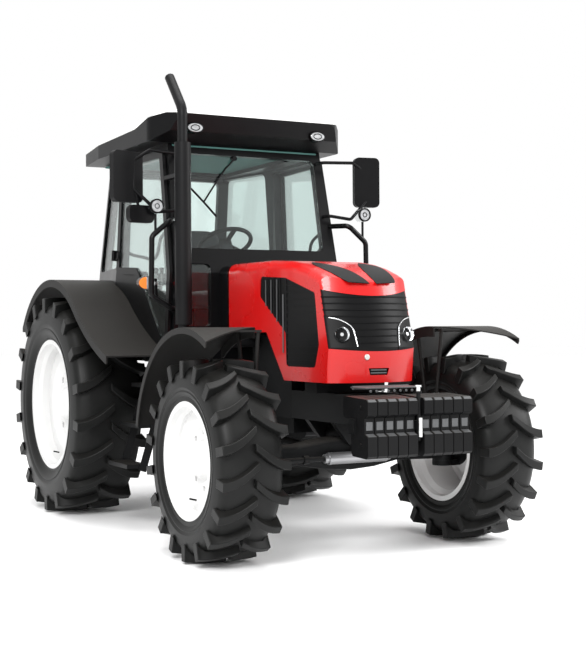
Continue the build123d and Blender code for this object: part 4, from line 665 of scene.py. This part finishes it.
for way, label in ((1, "left"), (-1, "right")):
    lamp_at = (way * work_x, -0.331, work_z)
    bezel = Form()
    bezel.revolve([(0.000, 0.036), (0.007, 0.037), (0.009, 0.042), (0.005, 0.046),
                   (-0.010, 0.046), (-0.010, 0.036)], lamp_at, (0, -1, 0), 32)
    bezel.revolve([(0.000, 0.012), (0.004, 0.012), (0.004, 0.017), (0.000, 0.017)],
                  lamp_at, (0, -1, 0), 24)
    bezel.make(f"work_lamp_bezel_{label}", "trim_black", "chassis")
    lens = Form()
    lens.rod((way * work_x, -0.3300, work_z), (way * work_x, -0.3325, work_z), 0.036, sides=28)
    lens.make(f"work_lamp_lens_{label}", "lamp_silver", "chassis")
    roof_lamp = Form()
    roof_lamp.plate(oval(way * roof_x, -0.228, roof_z, 0.052, 0.028), (0, -0.005, 0))
    roof_lamp.make(f"roof_lamp_lens_{label}", "lamp_silver", "chassis", bevel=0.002)
    roof_rim = Form()
    for wide, tall in ((0.056, 0.031), (0.030, 0.017)):
        roof_rim.tube(oval(way * roof_x, -0.232, roof_z, wide, tall, 33), 0.0035)
    roof_rim.make(f"roof_lamp_rim_{label}", "trim_black", "chassis")
    clear_half = Form()
    amber_half = Form()
    for form, start in ((clear_half, 90 if way > 0 else -90), (amber_half, -90 if way > 0 else 90)):
        arc = [(way * marker_x + 0.050 * math.cos(t), -0.283, marker_z + 0.037 * math.sin(t))
               for t in (math.radians(start + 180 * k / 16) for k in range(17))]
        form.plate(arc, (0, -0.006, 0))
    clear_half.make(f"marker_clear_{label}", "lamp_silver", "chassis", bevel=0.0015)
    amber_half.make(f"marker_amber_{label}", "amber", "chassis", bevel=0.0015)
    tail = Form()
    tail.box((way * 0.825, tail_y, tail_z), (0.110, 0.007, 0.080))
    tail.make(f"tail_lens_red_{label}", "red_lens", "chassis", bevel=0.002)
    turn_lens = Form()
    turn_lens.box((way * 0.935, tail_y, tail_z), (0.095, 0.007, 0.080))
    turn_lens.make(f"tail_lens_amber_{label}", "amber", "chassis", bevel=0.002)

# ---- step studs and tank cap --------------------------------------------------------
grips = Form()
for way in (-1, 1):
    for step in range(3):
        x = way * (0.905 - 0.078 * step - 0.10)
        for column in range(9):
            for row in range(3):
                stud_x, stud_y = x + way * 0.030 * (row - 1), -0.170 + 0.035 * column
                grips.rod((stud_x, stud_y, 0.4005 + 0.250 * step),
                          (stud_x, stud_y, 0.4045 + 0.250 * step), 0.007, sides=8)
grips.make("step_studs", "chassis_grey", "chassis")
cap = Form()
cap.rod((0.440, 0.240, 1.060), (0.440, 0.240, 1.092), 0.046, 0.042, sides=32)
cap.make("tank_cap", "trim_black", "chassis", bevel=0.004)

# ---- painted highlights on the front weights' top edges, and light grey squares in their recesses ---
highlights_and_squares = Form()
for way in (-1, 1):
    for k in range(5):
        x = way * (0.0485 + 0.062 * k)
        # the two sloped light strips on each weight are painted highlights along its top edges
        highlights_and_squares.box((x, -2.1383, 0.8973), (0.045, 0.018, 0.0016), (45, 0, 0))
        highlights_and_squares.box((x, -2.1283, 0.7197), (0.045, 0.033, 0.0016), (22.4, 0, 0))
        highlights_and_squares.box((x, -2.1120, 0.766), (0.038, 0.003, 0.044))
highlights_and_squares.make("weight_painted_highlights_and_squares", "ribbed_grey", "chassis", bevel=0.0005)


# ---- floor, light, camera -----------------------------------------------------------
def stage_piece(name, mesh_data, mat):
    mesh = bpy.data.meshes.new(name)
    mesh.from_pydata(*mesh_data)
    mesh.materials.append(mat)
    piece = bpy.data.objects.new(name, mesh)
    bpy.context.scene.collection.objects.link(piece)


floor_mat = bpy.data.materials.new("floor")
floor_mat.use_nodes = True
floor_shader = floor_mat.node_tree.nodes["Principled BSDF"]
floor_shader.inputs["Base Color"].default_value = (1.0, 1.0, 1.0, 1)
floor_shader.inputs["Roughness"].default_value = 0.9
floor_half = 60
floor_corners = [(x * floor_half, y * floor_half, 0)
                 for x, y in ((-1, -1), (1, -1), (1, 1), (-1, 1))]
stage_piece("floor", (floor_corners, [], [(0, 1, 2, 3)]), floor_mat)

world = bpy.data.worlds.new("studio")
world.use_nodes = True
world.node_tree.nodes["Background"].inputs["Color"].default_value = (1, 1, 1, 1)
world.node_tree.nodes["Background"].inputs["Strength"].default_value = 1.0
bpy.context.scene.world = world


def soft_light(name, position, target, size, watts):
    data = bpy.data.lights.new(name, "AREA")
    data.shape = "RECTANGLE"
    data.size = size[0]
    data.size_y = size[1]
    data.energy = watts
    lamp = bpy.data.objects.new(name, data)
    lamp.location = position
    aim = Vector(target) - Vector(position)
    lamp.rotation_euler = aim.to_track_quat("-Z", "Y").to_euler()
    bpy.context.scene.collection.objects.link(lamp)


soft_light("key", (-6, -8, 7), (0, -0.5, 1), (4, 3), 900)
soft_light("side", (8, -5, 5), (0, 0, 1), (4, 3), 500)
soft_light("top", (0, 0, 9), (0, 0, 0), (6, 6), 500)

camera_data = bpy.data.cameras.new("camera")
camera_data.sensor_fit = "AUTO"
camera_data.sensor_width = 36
focal_pixels, picture_height = 1278.9, 666
camera_data.lens = focal_pixels / picture_height * 36
camera_data.shift_x = -0.0076
camera = bpy.data.objects.new("camera", camera_data)
yaw, pitch, roll = 0.486, -0.003, -0.006
ahead = Vector((math.sin(yaw) * math.cos(pitch), math.cos(yaw) * math.cos(pitch), math.sin(pitch)))
right = Vector((math.cos(yaw), -math.sin(yaw), 0))
up = right.cross(ahead)
across = right * math.cos(roll) + up * math.sin(roll)
upward = up * math.cos(roll) - right * math.sin(roll)
turn = camera.matrix_world.to_3x3()
turn.col[0], turn.col[1], turn.col[2] = across, upward, -ahead
camera.matrix_world = turn.to_4x4()
camera.location = (-3.682, -7.744, 1.267)
bpy.context.scene.collection.objects.link(camera)
bpy.context.scene.camera = camera
bpy.context.scene.view_settings.view_transform = "Standard"
